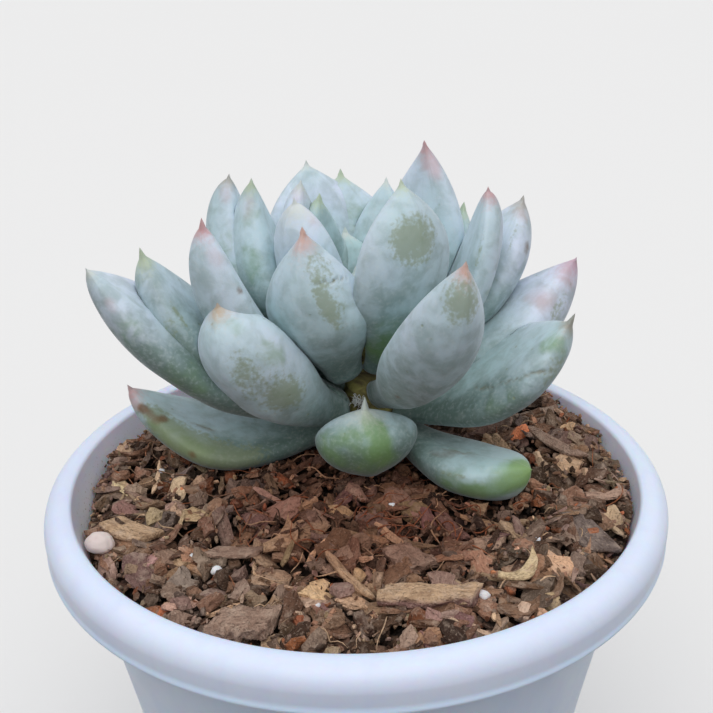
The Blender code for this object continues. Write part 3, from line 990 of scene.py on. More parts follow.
# The visible leaves from the front to the back, and then those behind.
LEAVES = (
    LeafSizes("front_left", 12.4, 216, 47.4, 36.5, 16.6, 12, 45, 36, 3.46,
              Tip.AMBER, 1.3, 0.55, 0.22, 0.1, 1.1, 0.88, 0.55, 0.25),
    LeafSizes("front_right", 16.4, 293, 47.3, 47.3, 14.4, 10.2, 40, -11, 2.42,
              Tip.ORANGE, 1.8, 0.48, 0.35, 0.18, 0.6, 0.97, 0.52, 0.32),
    LeafSizes("low_front", 4.4, 264, 55.5, 17.7, 18.1, 9.5, 65, 12, 2.41,
              Tip.PALE, 1.4, 0.15, 0.55, 1.1, 1.7, 1.1, 0.64, 0.34),
    LeafSizes("right_low", 10.6, 337, 35.5, 38.7, 20.8, 8.1, 35, 18, 2.23,
              Tip.BROWN, 1.5, 0.35, 0.4, 0.6, 1.6, 0.94, 0.59, 0.28),
    LeafSizes("low_right", 9, 321, -0.1, 29.8, 15.9, 8.6, 45, -9, 2.8,
              Tip.GREEN, 3.5, 0.05, 0.75, 0.4, 0.2, 1.14, 0.58, 0.48),
    LeafSizes("low_left", 7.8, 181, 10.9, 42.1, 20.6, 8, 72, -2, 1.22,
              Tip.PINK, 2.2, 0.3, 0.5, 1.1, 0.9, 0.74, 0.58, 0.25),
    LeafSizes("centre_front", 20.9, 237, 69.1, 30.8, 19.4, 11.2, 17, 11, 1.81,
              Tip.ORANGE, 2.2, 0.5, 0.3, 0.08, 0.7, 1.2, 0.5, 0.39),
    LeafSizes("centre_right", 21.5, 299, 77.1, 36.9, 19.7, 7.9, 42, 9, 2.55,
              Tip.LIME, 1.6, 0.5, 0.5, 0.15, 0.5, 1.22, 0.57, 0.34),
    LeafSizes("left_second", 13.3, 194, 42.8, 46.9, 19.6, 9.8, 51, -14, 2.18,
              Tip.LIME, 2.2, 0.35, 0.55, 0.85, 1.3, 0.88, 0.52, 0.34),
    LeafSizes("far_left", 10.2, 196, 38.1, 54.3, 22.2, 9.4, 24, -13, 2.45,
              Tip.PALE, 1.5, 0.75, 0.6, 0.95, 0.4, 0.96, 0.5, 0.34),
    LeafSizes("left_third", 13.8, 208, 56.9, 45.1, 15.5, 8.6, 45, -1, 2.11,
              Tip.RED, 1.6, 0.6, 0.45, 0.3, 1.2, 0.76, 0.53, 0.34),
    LeafSizes("right_back_near", 16, 3, 65.4, 39.7, 16.1, 6.7, 42, 1, 2.15,
              Tip.RED, 2.0, 0.75, 0.4, 0.2, 0.6, 0.74, 0.5, 0.34),
    LeafSizes("far_right", 14.6, 9, 33.1, 41, 18.5, 12.1, 32, 2, 1.92,
              Tip.MAGENTA, 4.0, 0.9, 0.35, 0.3, 0.3, 1.2, 0.53, 0.34),
    LeafSizes("right_back_far", 17, 21, 48.5, 39.6, 17.1, 9.2, 29, 1, 2.58,
              Tip.BROWN, 2.5, 0.65, 0.4, 0.3, 0.8, 0.95, 0.54, 0.34),
    LeafSizes("left_inner", 18.9, 177, 69.6, 37.6, 17.2, 9.5, 35, -3, 1.39,
              Tip.LIME, 2.0, 0.35, 0.65, 0.2, 0.6, 0.97, 0.52, 0.34),
    LeafSizes("left_back", 17.2, 169, 63.4, 42.3, 15.2, 9.3, 57, 4, 1.97,
              Tip.BROWN, 1.6, 0.45, 0.55, 0.15, 0.6, 0.86, 0.52, 0.34),
    LeafSizes("inner_left", 23.7, 218, 75, 29.8, 14.3, 7.9, 0, 11, 2.35,
              Tip.PALE, 2.0, 0.95, 0.15, 0.05, 0.7, 0.71, 0.51, 0.34),
    LeafSizes("bud", 25.9, 102, 67.9, 16.1, 11.7, 6, 8, -3, 1.89,
              Tip.PALE, 1.6, 0.0, 0.7, 0.2, 0.8, 0.94, 0.56, 0.34),
    LeafSizes("inner_back", 24.8, 140, 81.4, 24.7, 12.8, 6.9, 34, -1, 1.65,
              Tip.LIME, 1.8, 0.1, 0.6, 0.2, 0.8, 0.96, 0.54, 0.34),
    LeafSizes("inner_front", 25.2, 265, 84, 14.5, 9.5, 5.6, 10, 0, 1.8, Tip.PALE, 1.4, 0.1, 0.6, 0.2, 0.6),
    LeafSizes("inner_right", 24.2, 10, 77, 24, 11.5, 6.6, 26, 0, 1.8, Tip.PALE, 1.4, 0.2, 0.6, 0.2, 0.6),
    LeafSizes("back_third", 23.8, 71, 66.2, 28, 12.1, 6.5, 20, 0, 1.8,
              Tip.PALE, 1.6, 0.3, 0.4, 0.1, 0.5, 0.95, 0.54, 0.34),
    LeafSizes("back_second", 22.8, 100, 62.7, 30.7, 21, 7, 30, 0, 2.14,
              Tip.LIME, 2.0, 0.45, 0.85, 0.2, 0.8, 1.1, 0.56, 0.34),
    LeafSizes("top_right", 19.4, 47, 73, 40.5, 18.4, 8.5, 49, 6, 1.69,
              Tip.RED, 2.2, 0.7, 0.4, 0.05, 0.5, 1.13, 0.54, 0.34),
    LeafSizes("back_pink", 22.5, 151, 77.9, 30.4, 12, 7.1, 31, 2, 1.78,
              Tip.PALE, 1.8, 0.7, 0.25, 0.1, 0.5, 0.93, 0.52, 0.34),
    LeafSizes("back_first", 20.8, 119, 64.9, 34.8, 20.8, 8.4, 22, -8, 2.6,
              Tip.PALE, 1.2, 0.75, 0.35, 0.1, 0.6, 1.05, 0.54, 0.34),
    LeafSizes("back_green", 16, 38, 57, 34, 14, 7.5, 30, tip=Tip.LIME, lavender=0.1, green=0.7),
    LeafSizes("upper_behind_right", 16.5, 74, 50, 35, 16, 8, tip=Tip.PINK),
    LeafSizes("upper_behind_left", 16.5, 108, 50, 35, 16, 8, tip=Tip.AMBER),
    LeafSizes("left_behind", 12, 152, 28, 38, 17, 9, 34, tip=Tip.RED),
    LeafSizes("behind_right", 11, 48, 32, 40, 17, 9, 34, tip=Tip.PINK),
    LeafSizes("behind_left", 11.5, 100, 36, 38, 17, 9, 34, tip=Tip.ORANGE),
    LeafSizes("behind_middle", 9, 74, 26, 38, 18, 9, 34, tip=Tip.BROWN),
    LeafSizes("behind_far_left", 8.5, 126, 24, 39, 18, 9, 34, tip=Tip.PINK),
    LeafSizes("low_behind", 5, 50, 10, 32, 15, 8, 34, tip=Tip.LIME, lavender=0.1, green=0.6),
    LeafSizes("low_behind_left", 5, 100, 12, 32, 15, 8, 34, tip=Tip.LIME, lavender=0.1, green=0.6),
)

# Each leaf's marks, by the leaf's name.
MARKS = {
    "centre_right": (
        LeafMark(Mark.RUBBED, 0.79, 262, 8, 8, 0.85),
        LeafMark(Mark.RUBBED, 0.79, 240, 6, 4, 0.35),
        LeafMark(Mark.FRESH, 0.21, 222, 8, 9, 0.7),
        LeafMark(Mark.FRESH, 0.36, 238, 7, 6, 0.35),
    ),
    "centre_front": (
        LeafMark(Mark.SCAR, 0.765, 334, 0.6, 5, 0.7, 24),
        LeafMark(Mark.RUBBED, 0.66, 304, 8, 2.4, 0.8),
        LeafMark(Mark.RUBBED, 0.72, 318, 12, 5, 0.3),
        LeafMark(Mark.RUBBED, 0.86, 328, 5, 5, 0.35),
        LeafMark(Mark.BLUSH, 0.955, 305, 4, 4, 0.5),
    ),
    "front_left": (
        LeafMark(Mark.FRESH, 0.76, 335, 7, 4, 0.45),
        LeafMark(Mark.RUBBED, 0.66, 300, 15, 9, 0.42),
        LeafMark(Mark.RUBBED, 0.53, 312, 6, 6, 0.7),
        LeafMark(Mark.RUBBED, 0.78, 291, 6, 4, 0.3),
        LeafMark(Mark.FRESH, 0.93, 318, 4, 3, 0.35),
        LeafMark(Mark.RUBBED, 0.84, 21, 6, 0.9, 0.5),
    ),
    "right_low": (
        LeafMark(Mark.SCAR, 0.55, 116, 6, 0.8, 0.8, 28),
        LeafMark(Mark.SCAR, 0.68, 131, 6, 0.7, 0.7, 30),
        LeafMark(Mark.SCAR, 0.81, 160, 6, 0.7, 0.7, 40),
        LeafMark(Mark.FRESH, 0.92, 132, 5, 4, 0.55),
        LeafMark(Mark.RUBBED, 0.86, 208, 7, 4, 0.5),
        LeafMark(Mark.FRESH, 0.61, 152, 7, 4, 0.3),
    ),
    "front_right": (
        LeafMark(Mark.RUBBED, 0.945, 268, 6, 6, 0.65),
        LeafMark(Mark.RUBBED, 0.89, 256, 6, 5, 0.45),
        LeafMark(Mark.RUST, 0.40, 235, 1.5, 1.5, 0.9),
    ),
    "low_front": (
        LeafMark(Mark.FRESH, 0.96, 277, 4, 1.8, 0.9),
        LeafMark(Mark.FRESH, 0.90, 291, 6, 3, 0.65),
        LeafMark(Mark.FRESH, 0.80, 284, 10, 5, 0.6),
        LeafMark(Mark.FRESH, 0.62, 262, 9, 14, 0.45),
        LeafMark(Mark.FRESH, 0.72, 208, 6, 7, 0.45),
        LeafMark(Mark.FRESH, 0.87, 235, 4, 5, 0.4),
    ),
    "low_left": (
        LeafMark(Mark.RUBBED, 0.83, 21, 10, 5, 0.85),
        LeafMark(Mark.RUBBED, 0.64, 28, 12, 6.5, 1.0),
        LeafMark(Mark.FRESH, 0.72, 8, 20, 7, 0.6),
        LeafMark(Mark.RUST, 0.87, 22, 4, 1.6, 0.7),
        LeafMark(Mark.RUBBED, 0.44, 14, 10, 6, 0.8),
        LeafMark(Mark.RUST, 0.92, 0, 2, 2, 0.8),
        LeafMark(Mark.RUST, 0.82, 42, 2, 1.6, 0.8),
        LeafMark(Mark.RUST, 0.65, 353, 1.6, 1.6, 0.7),
        LeafMark(Mark.SCAR, 0.63, 72, 5, 0.8, 0.8),
        LeafMark(Mark.BLUSH, 0.96, 346, 3, 3, 0.6),
    ),
    "low_right": (
        LeafMark(Mark.FRESH, 0.94, 187, 7, 5, 0.95),
        LeafMark(Mark.FRESH, 0.965, 76, 3.5, 4, 0.7),
        LeafMark(Mark.SCAR, 0.54, 114, 7, 1.3, 0.75, -14),
        LeafMark(Mark.RUST, 0.50, 124, 7, 3, 0.45, -14),
        LeafMark(Mark.FRESH, 0.65, 201, 9, 5, 0.65),
        LeafMark(Mark.FRESH, 0.80, 215, 8, 4, 0.7),
        LeafMark(Mark.RUBBED, 0.60, 173, 7, 0.9, 0.55),
    ),
    "far_left": (
        LeafMark(Mark.BLUSH, 0.90, 2, 3, 2, 0.5),
        LeafMark(Mark.FRESH, 0.82, 354, 5, 5, 0.35),
        LeafMark(Mark.FRESH, 0.60, 352, 10, 6, 0.4),
    ),
    "left_second": (
        LeafMark(Mark.RUBBED, 0.78, 35, 6, 0.8, 0.65),
        LeafMark(Mark.RUBBED, 0.79, 353, 6, 4, 0.4),
    ),
    "left_inner": (
        LeafMark(Mark.FRESH, 0.69, 346, 8, 4, 0.4),
        LeafMark(Mark.FRESH, 0.86, 353, 5, 4, 0.35),
        LeafMark(Mark.BLUSH, 0.90, 339, 5, 3, 0.4),
    ),
    "left_third": (
        LeafMark(Mark.BLUSH, 0.91, 353, 5, 3, 0.45),
        LeafMark(Mark.RUST, 0.77, 14, 1.4, 1.4, 0.8),
    ),
    "left_back": (
        LeafMark(Mark.BLUSH, 0.94, 353, 4, 3, 0.4),
        LeafMark(Mark.FRESH, 0.74, 353, 8, 4, 0.35),
    ),
    "top_right": (
        LeafMark(Mark.BLUSH, 0.92, 138, 5, 4, 0.55),
        LeafMark(Mark.BLUSH, 0.885, 159, 5, 3, 0.4),
    ),
    "right_back_near": (
        LeafMark(Mark.RUBBED, 0.76, 152, 7, 0.9, 0.55),
        LeafMark(Mark.FRESH, 0.60, 228, 7, 5, 0.3),
    ),
    "right_back_far": (
        LeafMark(Mark.RUBBED, 0.83, 145, 6, 0.9, 0.5),
        LeafMark(Mark.RUST, 0.82, 201, 3, 2, 0.5),
        LeafMark(Mark.BLUSH, 0.95, 166, 4, 3, 0.5),
    ),
    "far_right": (
        LeafMark(Mark.BLUSH, 0.77, 159, 6, 4, 0.5),
        LeafMark(Mark.BLUSH, 0.76, 118, 5, 4, 0.4),
        LeafMark(Mark.BLUSH, 0.92, 175, 6, 5, 0.55),
        LeafMark(Mark.RUBBED, 0.79, 196, 8, 3, 0.5),
    ),
    "back_second": (
        LeafMark(Mark.FRESH, 0.76, 111, 9, 8, 0.3),
    ),
    "back_pink": (
        LeafMark(Mark.BLUSH, 0.95, 0, 3, 3, 0.55),
    ),
    "inner_left": (
        LeafMark(Mark.BLUSH, 0.92, 0, 5, 3, 0.45),
    ),
}


class Leaf:
    """One fleshy leaf, flatter above and full below."""

    RINGS = 76
    SIDES = 52
    SPIKE_RINGS = 9
    SPIKE_RADIUS = 0.7 * MM
    BASE_THICKNESS = 0.5
    UPPER = 0.34
    GAP = 0.3 * MM
    DENT_GAP = 0.12 * MM

    def __init__(self, sizes: LeafSizes, stem: StemSizes, seed: int) -> None:
        """Works out the leaf's points.

        Args:
            sizes: The leaf's sizes.
            stem: The stem that it grows from.
            seed: The seed for its small unevenness.
        """
        self.sizes = sizes
        self.seed = seed
        reach = np.linspace(0, 1, self.RINGS - self.SPIKE_RINGS)
        body = (1 - (1 - reach) ** 1.35) * 0.7 + reach * 0.3
        self.shares = np.concatenate([body, np.ones(self.SPIKE_RINGS)])
        self.angles = circle_angles(self.SIDES)
        self.share_of = np.repeat(self.shares, self.SIDES)
        self.angle_of = np.tile(self.angles, self.RINGS)
        self.points = self.outline(stem)

    def width_at(self, share: np.ndarray) -> np.ndarray:
        """The leaf's width at shares of its length, as shares of its greatest width.

        Args:
            share: The shares of its length.

        Returns:
            The shares of its width.
        """
        s = self.sizes
        near = s.neck + (1 - s.neck) * smooth(share / s.widest)
        beyond = np.clip((share - s.widest) / (1 - s.widest), 0, 1)
        return np.where(share < s.widest, near, np.clip(1 - beyond**s.point, 0, 1) ** s.shoulder)

    def thickness_at(self, share: np.ndarray) -> np.ndarray:
        """The leaf's thickness at shares of its length, as shares of its greatest thickness.

        Args:
            share: The shares of its length.

        Returns:
            The shares of its thickness.
        """
        s = self.sizes
        near = self.BASE_THICKNESS + (1 - self.BASE_THICKNESS) * smooth(share / s.widest)
        beyond = np.clip((share - s.widest) / (1 - s.widest), 0, 1)
        far = np.clip(1 - beyond ** (s.point + 0.7), 0, 1) ** min(s.shoulder * 0.74, 0.85)
        return np.where(share < s.widest, near, far)

    def outline(self, stem: StemSizes) -> np.ndarray:
        """The leaf's points, ring by ring, then the middle of its base and its tip.

        Args:
            stem: The stem that it grows from.

        Returns:
            The points, one on each row.
        """
        s = self.sizes
        azimuth, roll = math.radians(s.azimuth), math.radians(s.roll)
        out = np.array([math.cos(azimuth), math.sin(azimuth), 0])
        across = np.array([-math.sin(azimuth), math.cos(azimuth), 0])
        angles = np.radians(s.rise + s.curl * (self.shares - 0.5))
        ways = np.cos(angles)[:, None] * out + np.sin(angles)[:, None] * np.array([0, 0, 1])
        middle, radius = stem.at(s.height * MM)
        half_base = s.thickness * MM * self.BASE_THICKNESS / 2
        start = middle + out * (radius + self.GAP + abs(ways[0][2]) * half_base)
        steps = np.diff(self.shares)[:, None] * s.length * MM * (ways[1:] + ways[:-1]) / 2
        line = np.concatenate([[start], start + np.cumsum(steps, 0)])
        upright = np.cross(ways, across)
        side = across * math.cos(roll) + upright * math.sin(roll)
        upper = upright * math.cos(roll) - across * math.sin(roll)
        out_of_tip = np.zeros(self.RINGS)
        out_of_tip[-self.SPIKE_RINGS :] = np.linspace(0.06, 0.97, self.SPIKE_RINGS)
        spike = self.SPIKE_RADIUS * min(s.spike, 1) * smooth((self.shares - 0.93) / 0.07) * (1 - out_of_tip) ** 0.9
        half = np.hypot(s.width * MM * self.width_at(self.shares) / 2, spike)
        depth = np.hypot(s.thickness * MM * self.thickness_at(self.shares), spike * 1.7)
        line = line + (ways + [0, 0, 0.45]) * (out_of_tip * s.spike * MM)[:, None]
        self.line = line
        cos, sin = np.cos(self.angles), np.sin(self.angles)
        keel = 1 + 0.07 * np.exp(-((cos / 0.22) ** 2)) * (sin < 0)
        hollow = 1 - 0.16 * np.exp(-((cos / 0.5) ** 2)) * (sin > 0)
        reach = np.where(sin > 0, self.UPPER, 1 - self.UPPER) * keel * hollow * sin
        rings = (
            line[:, None, :]
            + side[:, None, :] * half[:, None, None] * cos[None, :, None]
            + upper[:, None, :] * depth[:, None, None] * reach[None, :, None]
        )
        flat = rings.reshape(-1, 3)
        swell = ripple(flat, 22 * MM, self.seed, 2) * 0.022 + ripple(flat, 7 * MM, self.seed + 50, 1) * 0.006
        centre = np.repeat(line, self.SIDES, 0)
        flat = centre + (flat - centre) * (1 + swell)[:, None]
        ends = np.array([line[0] - ways[0] * 0.4 * MM, line[-1] + ways[-1] * 0.1 * MM])
        return np.concatenate([flat, ends])

    def colour_values(self) -> dict[str, np.ndarray]:
        """How much of each colour and mark there is at each point, painted shade in the green included.

        Returns:
            The values, by the name of the mesh value that holds them.
        """
        s = self.sizes
        share = np.append(self.share_of, [0.0, 1.0])
        angle = np.append(self.angle_of, [0.0, 0.0])
        centre = np.concatenate([np.repeat(self.line, self.SIDES, 0), self.line[[0, -1]]])
        away = self.points - centre
        down = -away[:, 2] / (np.linalg.norm(away, axis=1) + 0.1 * MM)
        edge = np.abs(np.cos(angle)) ** 6
        from_tip = (1 - share) * s.length
        cloud = ripple(self.points, 16 * MM, self.seed + 7, 2) * 0.12
        lavender = s.lavender * (0.15 + 1.0 * smooth((share - 0.25) / 0.65)) + 0.25 * edge * smooth(share / 0.8)
        # Painted shade: the side that faces down gets more dark green, less of it towards the tip.
        shade = smooth((down + 0.6) / 1.15) * (1 - 0.75 * smooth((share - 0.5) / 0.5))
        green = s.green * (1 - smooth((share - 0.05) / 0.75)) * 1.1 + s.under * shade * 1.6
        # Painted shade deep in the rosette: more dark green towards the base, on top of the leaf's own greener base.
        green = green + 0.4 * (1 - smooth(share / 0.45))
        values = {
            "lavender": np.clip(lavender + cloud, 0, 1),
            "green": np.clip(green + cloud * 0.5, 0, 1),
            "tip": np.exp(-((from_tip / s.tip_reach) ** 1.6)),
            "tip_colour": np.tile(np.array(s.tip.value), (len(share), 1)),
            "skin": np.stack(
                [share * s.length * 0.16, np.cos(angle) * s.width / 2, np.sin(angle) * s.thickness / 2], 1
            )
            * MM,
        }
        for kind in Mark:
            values[kind.value] = np.zeros(len(share))
        return values

    def add_mark(self, values: dict[str, np.ndarray], mark: LeafMark) -> None:
        """Adds a mark to the leaf's values.

        Args:
            values: The values to add it to.
            mark: The mark.
        """
        rings = self.points[:-2].reshape(self.RINGS, self.SIDES, 3)
        row = int(np.argmin(np.abs(self.shares - mark.along)))
        row = min(max(row, 1), self.RINGS - 2)
        column = round(mark.round / 360 * self.SIDES) % self.SIDES
        centre = rings[row, column]
        along = rings[row + 1, column] - rings[row - 1, column]
        round_it = rings[row, (column + 1) % self.SIDES] - rings[row, column - 1]
        along /= np.linalg.norm(along)
        round_it -= along * (round_it @ along)
        round_it /= np.linalg.norm(round_it)
        turn = math.radians(mark.turn)
        first = along * math.cos(turn) + round_it * math.sin(turn)
        second = round_it * math.cos(turn) - along * math.sin(turn)
        away = self.points - centre
        a, b = away @ first / (mark.length * MM / 2), away @ second / (mark.width * MM / 2)
        c = away @ np.cross(first, second) / (4 * MM)
        there = mark.strength * np.exp(-((a * a + b * b) ** 1.5) * 0.7 - c * c)
        values[mark.kind.value] = np.clip(values[mark.kind.value] + there, 0, 1)

    def middle_of(self, index: int) -> np.ndarray:
        """The point of the leaf's midline by one of its points."""
        return self.line[min(index // self.SIDES, self.RINGS - 1)]

    def yield_to(self, tree: BVHTree, low: np.ndarray, high: np.ndarray) -> None:
        """Dents the leaf where it would meet another one.

        Args:
            tree: A search tree of the other leaf's faces.
            low: The lowest corner of the other leaf's box.
            high: The highest corner of the other leaf's box.
        """
        near = np.all((self.points > low) & (self.points < high), axis=1)
        for index in np.flatnonzero(near):
            point = Vector(self.points[index])
            place, normal, _, _ = tree.find_nearest(point)
            depth = (point - place).dot(normal)
            outward = (Vector(self.middle_of(index)) - place).dot(normal) > 0
            if depth < self.DENT_GAP and outward:
                self.points[index] = place + normal * self.DENT_GAP


class Rosette:
    """All the leaves, each giving way to those before it in the list."""

    def __init__(self, leaves: tuple[LeafSizes, ...], stem: StemSizes, finish: LeafSkin) -> None:
        """Takes the leaves' sizes, the stem and the finish.

        Args:
            leaves: The leaves' sizes.
            stem: The stem that they grow from.
            finish: The skin they have.
        """
        self.leaves = [Leaf(sizes, stem, i + 1) for i, sizes in enumerate(leaves)]
        self.finish = finish
        self.objects: list[bpy.types.Object] = []

    def build(self) -> list[bpy.types.Object]:
        """Builds every leaf and dresses it.

        Returns:
            The finished leaves.
        """
        paint = self.finish.material()
        faces = loft_faces(Leaf.RINGS, Leaf.SIDES)
        boxes: list[tuple[BVHTree, np.ndarray, np.ndarray]] = []
        for leaf in self.leaves:
            for tree, low, high in boxes:
                leaf.yield_to(tree, low, high)
            tree = BVHTree.FromPolygons(leaf.points.tolist(), faces)
            boxes.append((tree, leaf.points.min(0), leaf.points.max(0)))
            obj = new_mesh_object(f"{leaf.sizes.name}_leaf", leaf.points, faces)
            values = leaf.colour_values()
            for mark in MARKS.get(leaf.sizes.name, ()):
                leaf.add_mark(values, mark)
            for key, numbers in values.items():
                set_values(obj, key, numbers)
            obj.data.materials.append(paint)
            self.objects.append(dress(obj, "leaf", f"leaf_{leaf.sizes.name}"))
        return self.objects

    def low_trees(self, below: float) -> BVHTree:
        """A search tree of the leaves that reach below a height.

        Args:
            below: The height.

        Returns:
            The search tree.
        """
        faces = loft_faces(Leaf.RINGS, Leaf.SIDES)
        points: list[list[float]] = []
        polygons: list[tuple[int, ...]] = []
        for leaf in self.leaves:
            if leaf.points[:, 2].min() > below:
                continue
            start = len(points)
            points += leaf.points.tolist()
            polygons += [tuple(start + i for i in face) for face in faces]
        return BVHTree.FromPolygons(points, polygons)


# ---- bark


class Tone(Enum):
    """The tones of bark, from the bed's most common to its rarest."""

    BROWN = (0.255, 0.142, 0.088)
    DUSTY = (0.370, 0.245, 0.185)
    UMBER = (0.085, 0.044, 0.028)
    TAN = (0.560, 0.375, 0.235)
    RUSSET = (0.300, 0.105, 0.048)
    STRAW = (0.700, 0.530, 0.320)
    PLUM = (0.270, 0.150, 0.130)
    SLATE = (0.200, 0.150, 0.130)


@dataclass
class Pile:
    """Gathers many small shapes into one mesh, with a tone and a grain on each point."""

    points: list[np.ndarray] = field(default_factory=list)
    faces: list[tuple[int, ...]] = field(default_factory=list)
    tones: list[np.ndarray] = field(default_factory=list)
    grains: list[np.ndarray] = field(default_factory=list)
    count: int = 0

    def add(self, points: np.ndarray, faces: list[tuple[int, ...]], tone: np.ndarray, grain: np.ndarray) -> None:
        """Adds a shape.

        Args:
            points: Its points in the row frame.
            faces: Its faces.
            tone: Its colour.
            grain: Its points in its own axes, with X along its grain.
        """
        self.points.append(points)
        self.faces += [tuple(self.count + i for i in face) for face in faces]
        self.tones.append(np.tile(tone, (len(points), 1)))
        self.grains.append(grain)
        self.count += len(points)

    def build(self, name: str, paint: bpy.types.Material, even: bool = False) -> bpy.types.Object:
        """Makes the pile's mesh object.

        Args:
            name: The piece's name.
            paint: Its material.
            even: True for smooth shading.

        Returns:
            The new object.
        """
        obj = new_mesh_object(name, np.concatenate(self.points), self.faces, even)
        set_values(obj, "tone", np.concatenate(self.tones))
        set_values(obj, "grain", np.concatenate(self.grains))
        obj.data.materials.append(paint)
        return obj


@dataclass(frozen=True)
class BedSizes:
    """The sizes of the bed of bark."""

    edge_z: float = 85.5 * MM
    crown: float = 1.2 * MM
    sunk: float = 1.7 * MM
    floor_z: float = 4.2 * MM
    gap: float = 0.3 * MM
    rise_right: float = 1.6 * MM
    rise_back: float = 1.0 * MM
    drop_left: float = 2.2 * MM

    def level(self, x: np.ndarray, y: np.ndarray, edge: float) -> np.ndarray:
        """The height of the bed under its litter, which is higher round the plant, at the right and behind.

        Args:
            x: The places across.
            y: The places from front to back.
            edge: The bed's radius.

        Returns:
            The heights.
        """
        out = np.hypot(x, y) / edge
        lift = self.rise_right * smooth(x / edge + 0.2) + self.rise_back * smooth(y / edge + 0.1)
        lift = lift - self.drop_left * smooth(-x / edge) * smooth(0.5 - y / edge * 1.2)
        return self.edge_z - self.sunk + self.crown * (1 - smooth(out)) + lift * smooth((out - 0.15) / 0.8)


class Ground:
    """The litter's height over the bed as it builds up, on a fine square grid."""

    CELL = 0.5 * MM
    STEEPEST = math.radians(38)
    DEEPEST = 3.4 * MM

    def __init__(self, bed: BedSizes, pot: PotSizes) -> None:
        """Starts at the bed's own level.

        Args:
            bed: The bed's sizes.
            pot: The pot's sizes.
        """
        self.pot = pot
        self.half = pot.rim_inside + 2 * MM
        self.count = int(2 * self.half / self.CELL) + 1
        line = np.linspace(-self.half, self.half, self.count)
        x, y = np.meshgrid(line, line, indexing="ij")
        self.heights = bed.level(x, y, pot.inside(bed.edge_z))
        self.start = self.heights.copy()

    def cells(self, points: np.ndarray) -> tuple[np.ndarray, np.ndarray]:
        """The grid cells that points are over.

        Args:
            points: The points.

        Returns:
            The rows and the columns.
        """
        index = np.rint((points[:, :2] + self.half) / self.CELL).astype(int)
        index = np.clip(index, 0, self.count - 1)
        return index[:, 0], index[:, 1]

    def rest(self, x: float, y: float, heading: float, length: float, width: float) -> tuple[float, float, float]:
        """How a flat piece comes to rest.

        Args:
            x: The middle of the piece.
            y: The middle of the piece.
            heading: The way its length points, in radians.
            length: Its length.
            width: Its width.

        Returns:
            The height of its middle, and its slopes along and across, in radians.
        """
        u, v = np.meshgrid(np.linspace(-0.45, 0.45, 5) * length, np.linspace(-0.45, 0.45, 3) * width)
        u, v = u.ravel(), v.ravel()
        cos, sin = math.cos(heading), math.sin(heading)
        spots = np.stack([x + u * cos - v * sin, y + u * sin + v * cos], 1)
        heights = self.heights[self.cells(spots)]
        table = np.stack([np.ones(len(u)), u, v], 1)
        fit, _, _, _ = np.linalg.lstsq(table, heights, rcond=None)
        spare = (heights - table @ fit).max()
        along, across = (min(max(math.atan(slope), -self.STEEPEST), self.STEEPEST) for slope in fit[1:])
        return float(fit[0] + spare * 0.55), along, across

    def cover(self, points: np.ndarray) -> None:
        """Raises the ground to a piece's points.

        Args:
            points: The piece's points.
        """
        cells = self.cells(points)
        np.maximum.at(self.heights, cells, points[:, 2])
        limit = self.start[cells] + self.DEEPEST
        self.heights[cells] = np.minimum(self.heights[cells], limit)

    def shade_and_dampen(self, obj: bpy.types.Object) -> None:
        """Darkens pieces with painted shade where they lie low in the litter, lightens them a little on top, and
        darkens them round the plant with painted shadow and damp.

        Args:
            obj: The pieces.
        """
        level = self.heights.copy()
        for _ in range(6):
            level = (level + sum(np.roll(level, step, axis) for axis in (0, 1) for step in (-1, 1))) / 5
        points = np.array([v.co for v in obj.data.vertices])
        depth = level[self.cells(points)] - points[:, 2]
        # Painted shade and light: up to a tenth lighter on top of the litter, darker the lower a point lies beneath
        # it.
        shade = 1.10 - 0.95 * smooth((depth + 0.25 * MM) / (1.35 * MM))
        # Painted shadow of the rosette together with damp: darker and redder round the plant.
        near = 1 - smooth((np.hypot(points[:, 0] - 2 * MM, points[:, 1] + 6 * MM) - 17 * MM) / (16 * MM))
        tint = 1 - near[:, None] * np.array([0.34, 0.48, 0.52])
        set_values(obj, "dry", shade[:, None] * tint)

    def keep_in(self, points: np.ndarray, spare: float) -> np.ndarray:
        """Moves a piece towards the middle until it clears the pot's wall.

        Args:
            points: The piece's points.
            spare: How far it stays from the wall.

        Returns:
            The moved points.
        """
        for _ in range(3):
            radius = np.hypot(points[:, 0], points[:, 1])
            walls = np.array([self.pot.inside(float(z)) for z in points[:, 2]]) - spare
            worst = int(np.argmax(radius - walls))
            over = radius[worst] - walls[worst]
            if over <= 0:
                break
            points[:, :2] -= points[worst, :2] / radius[worst] * over * 1.02
        return points


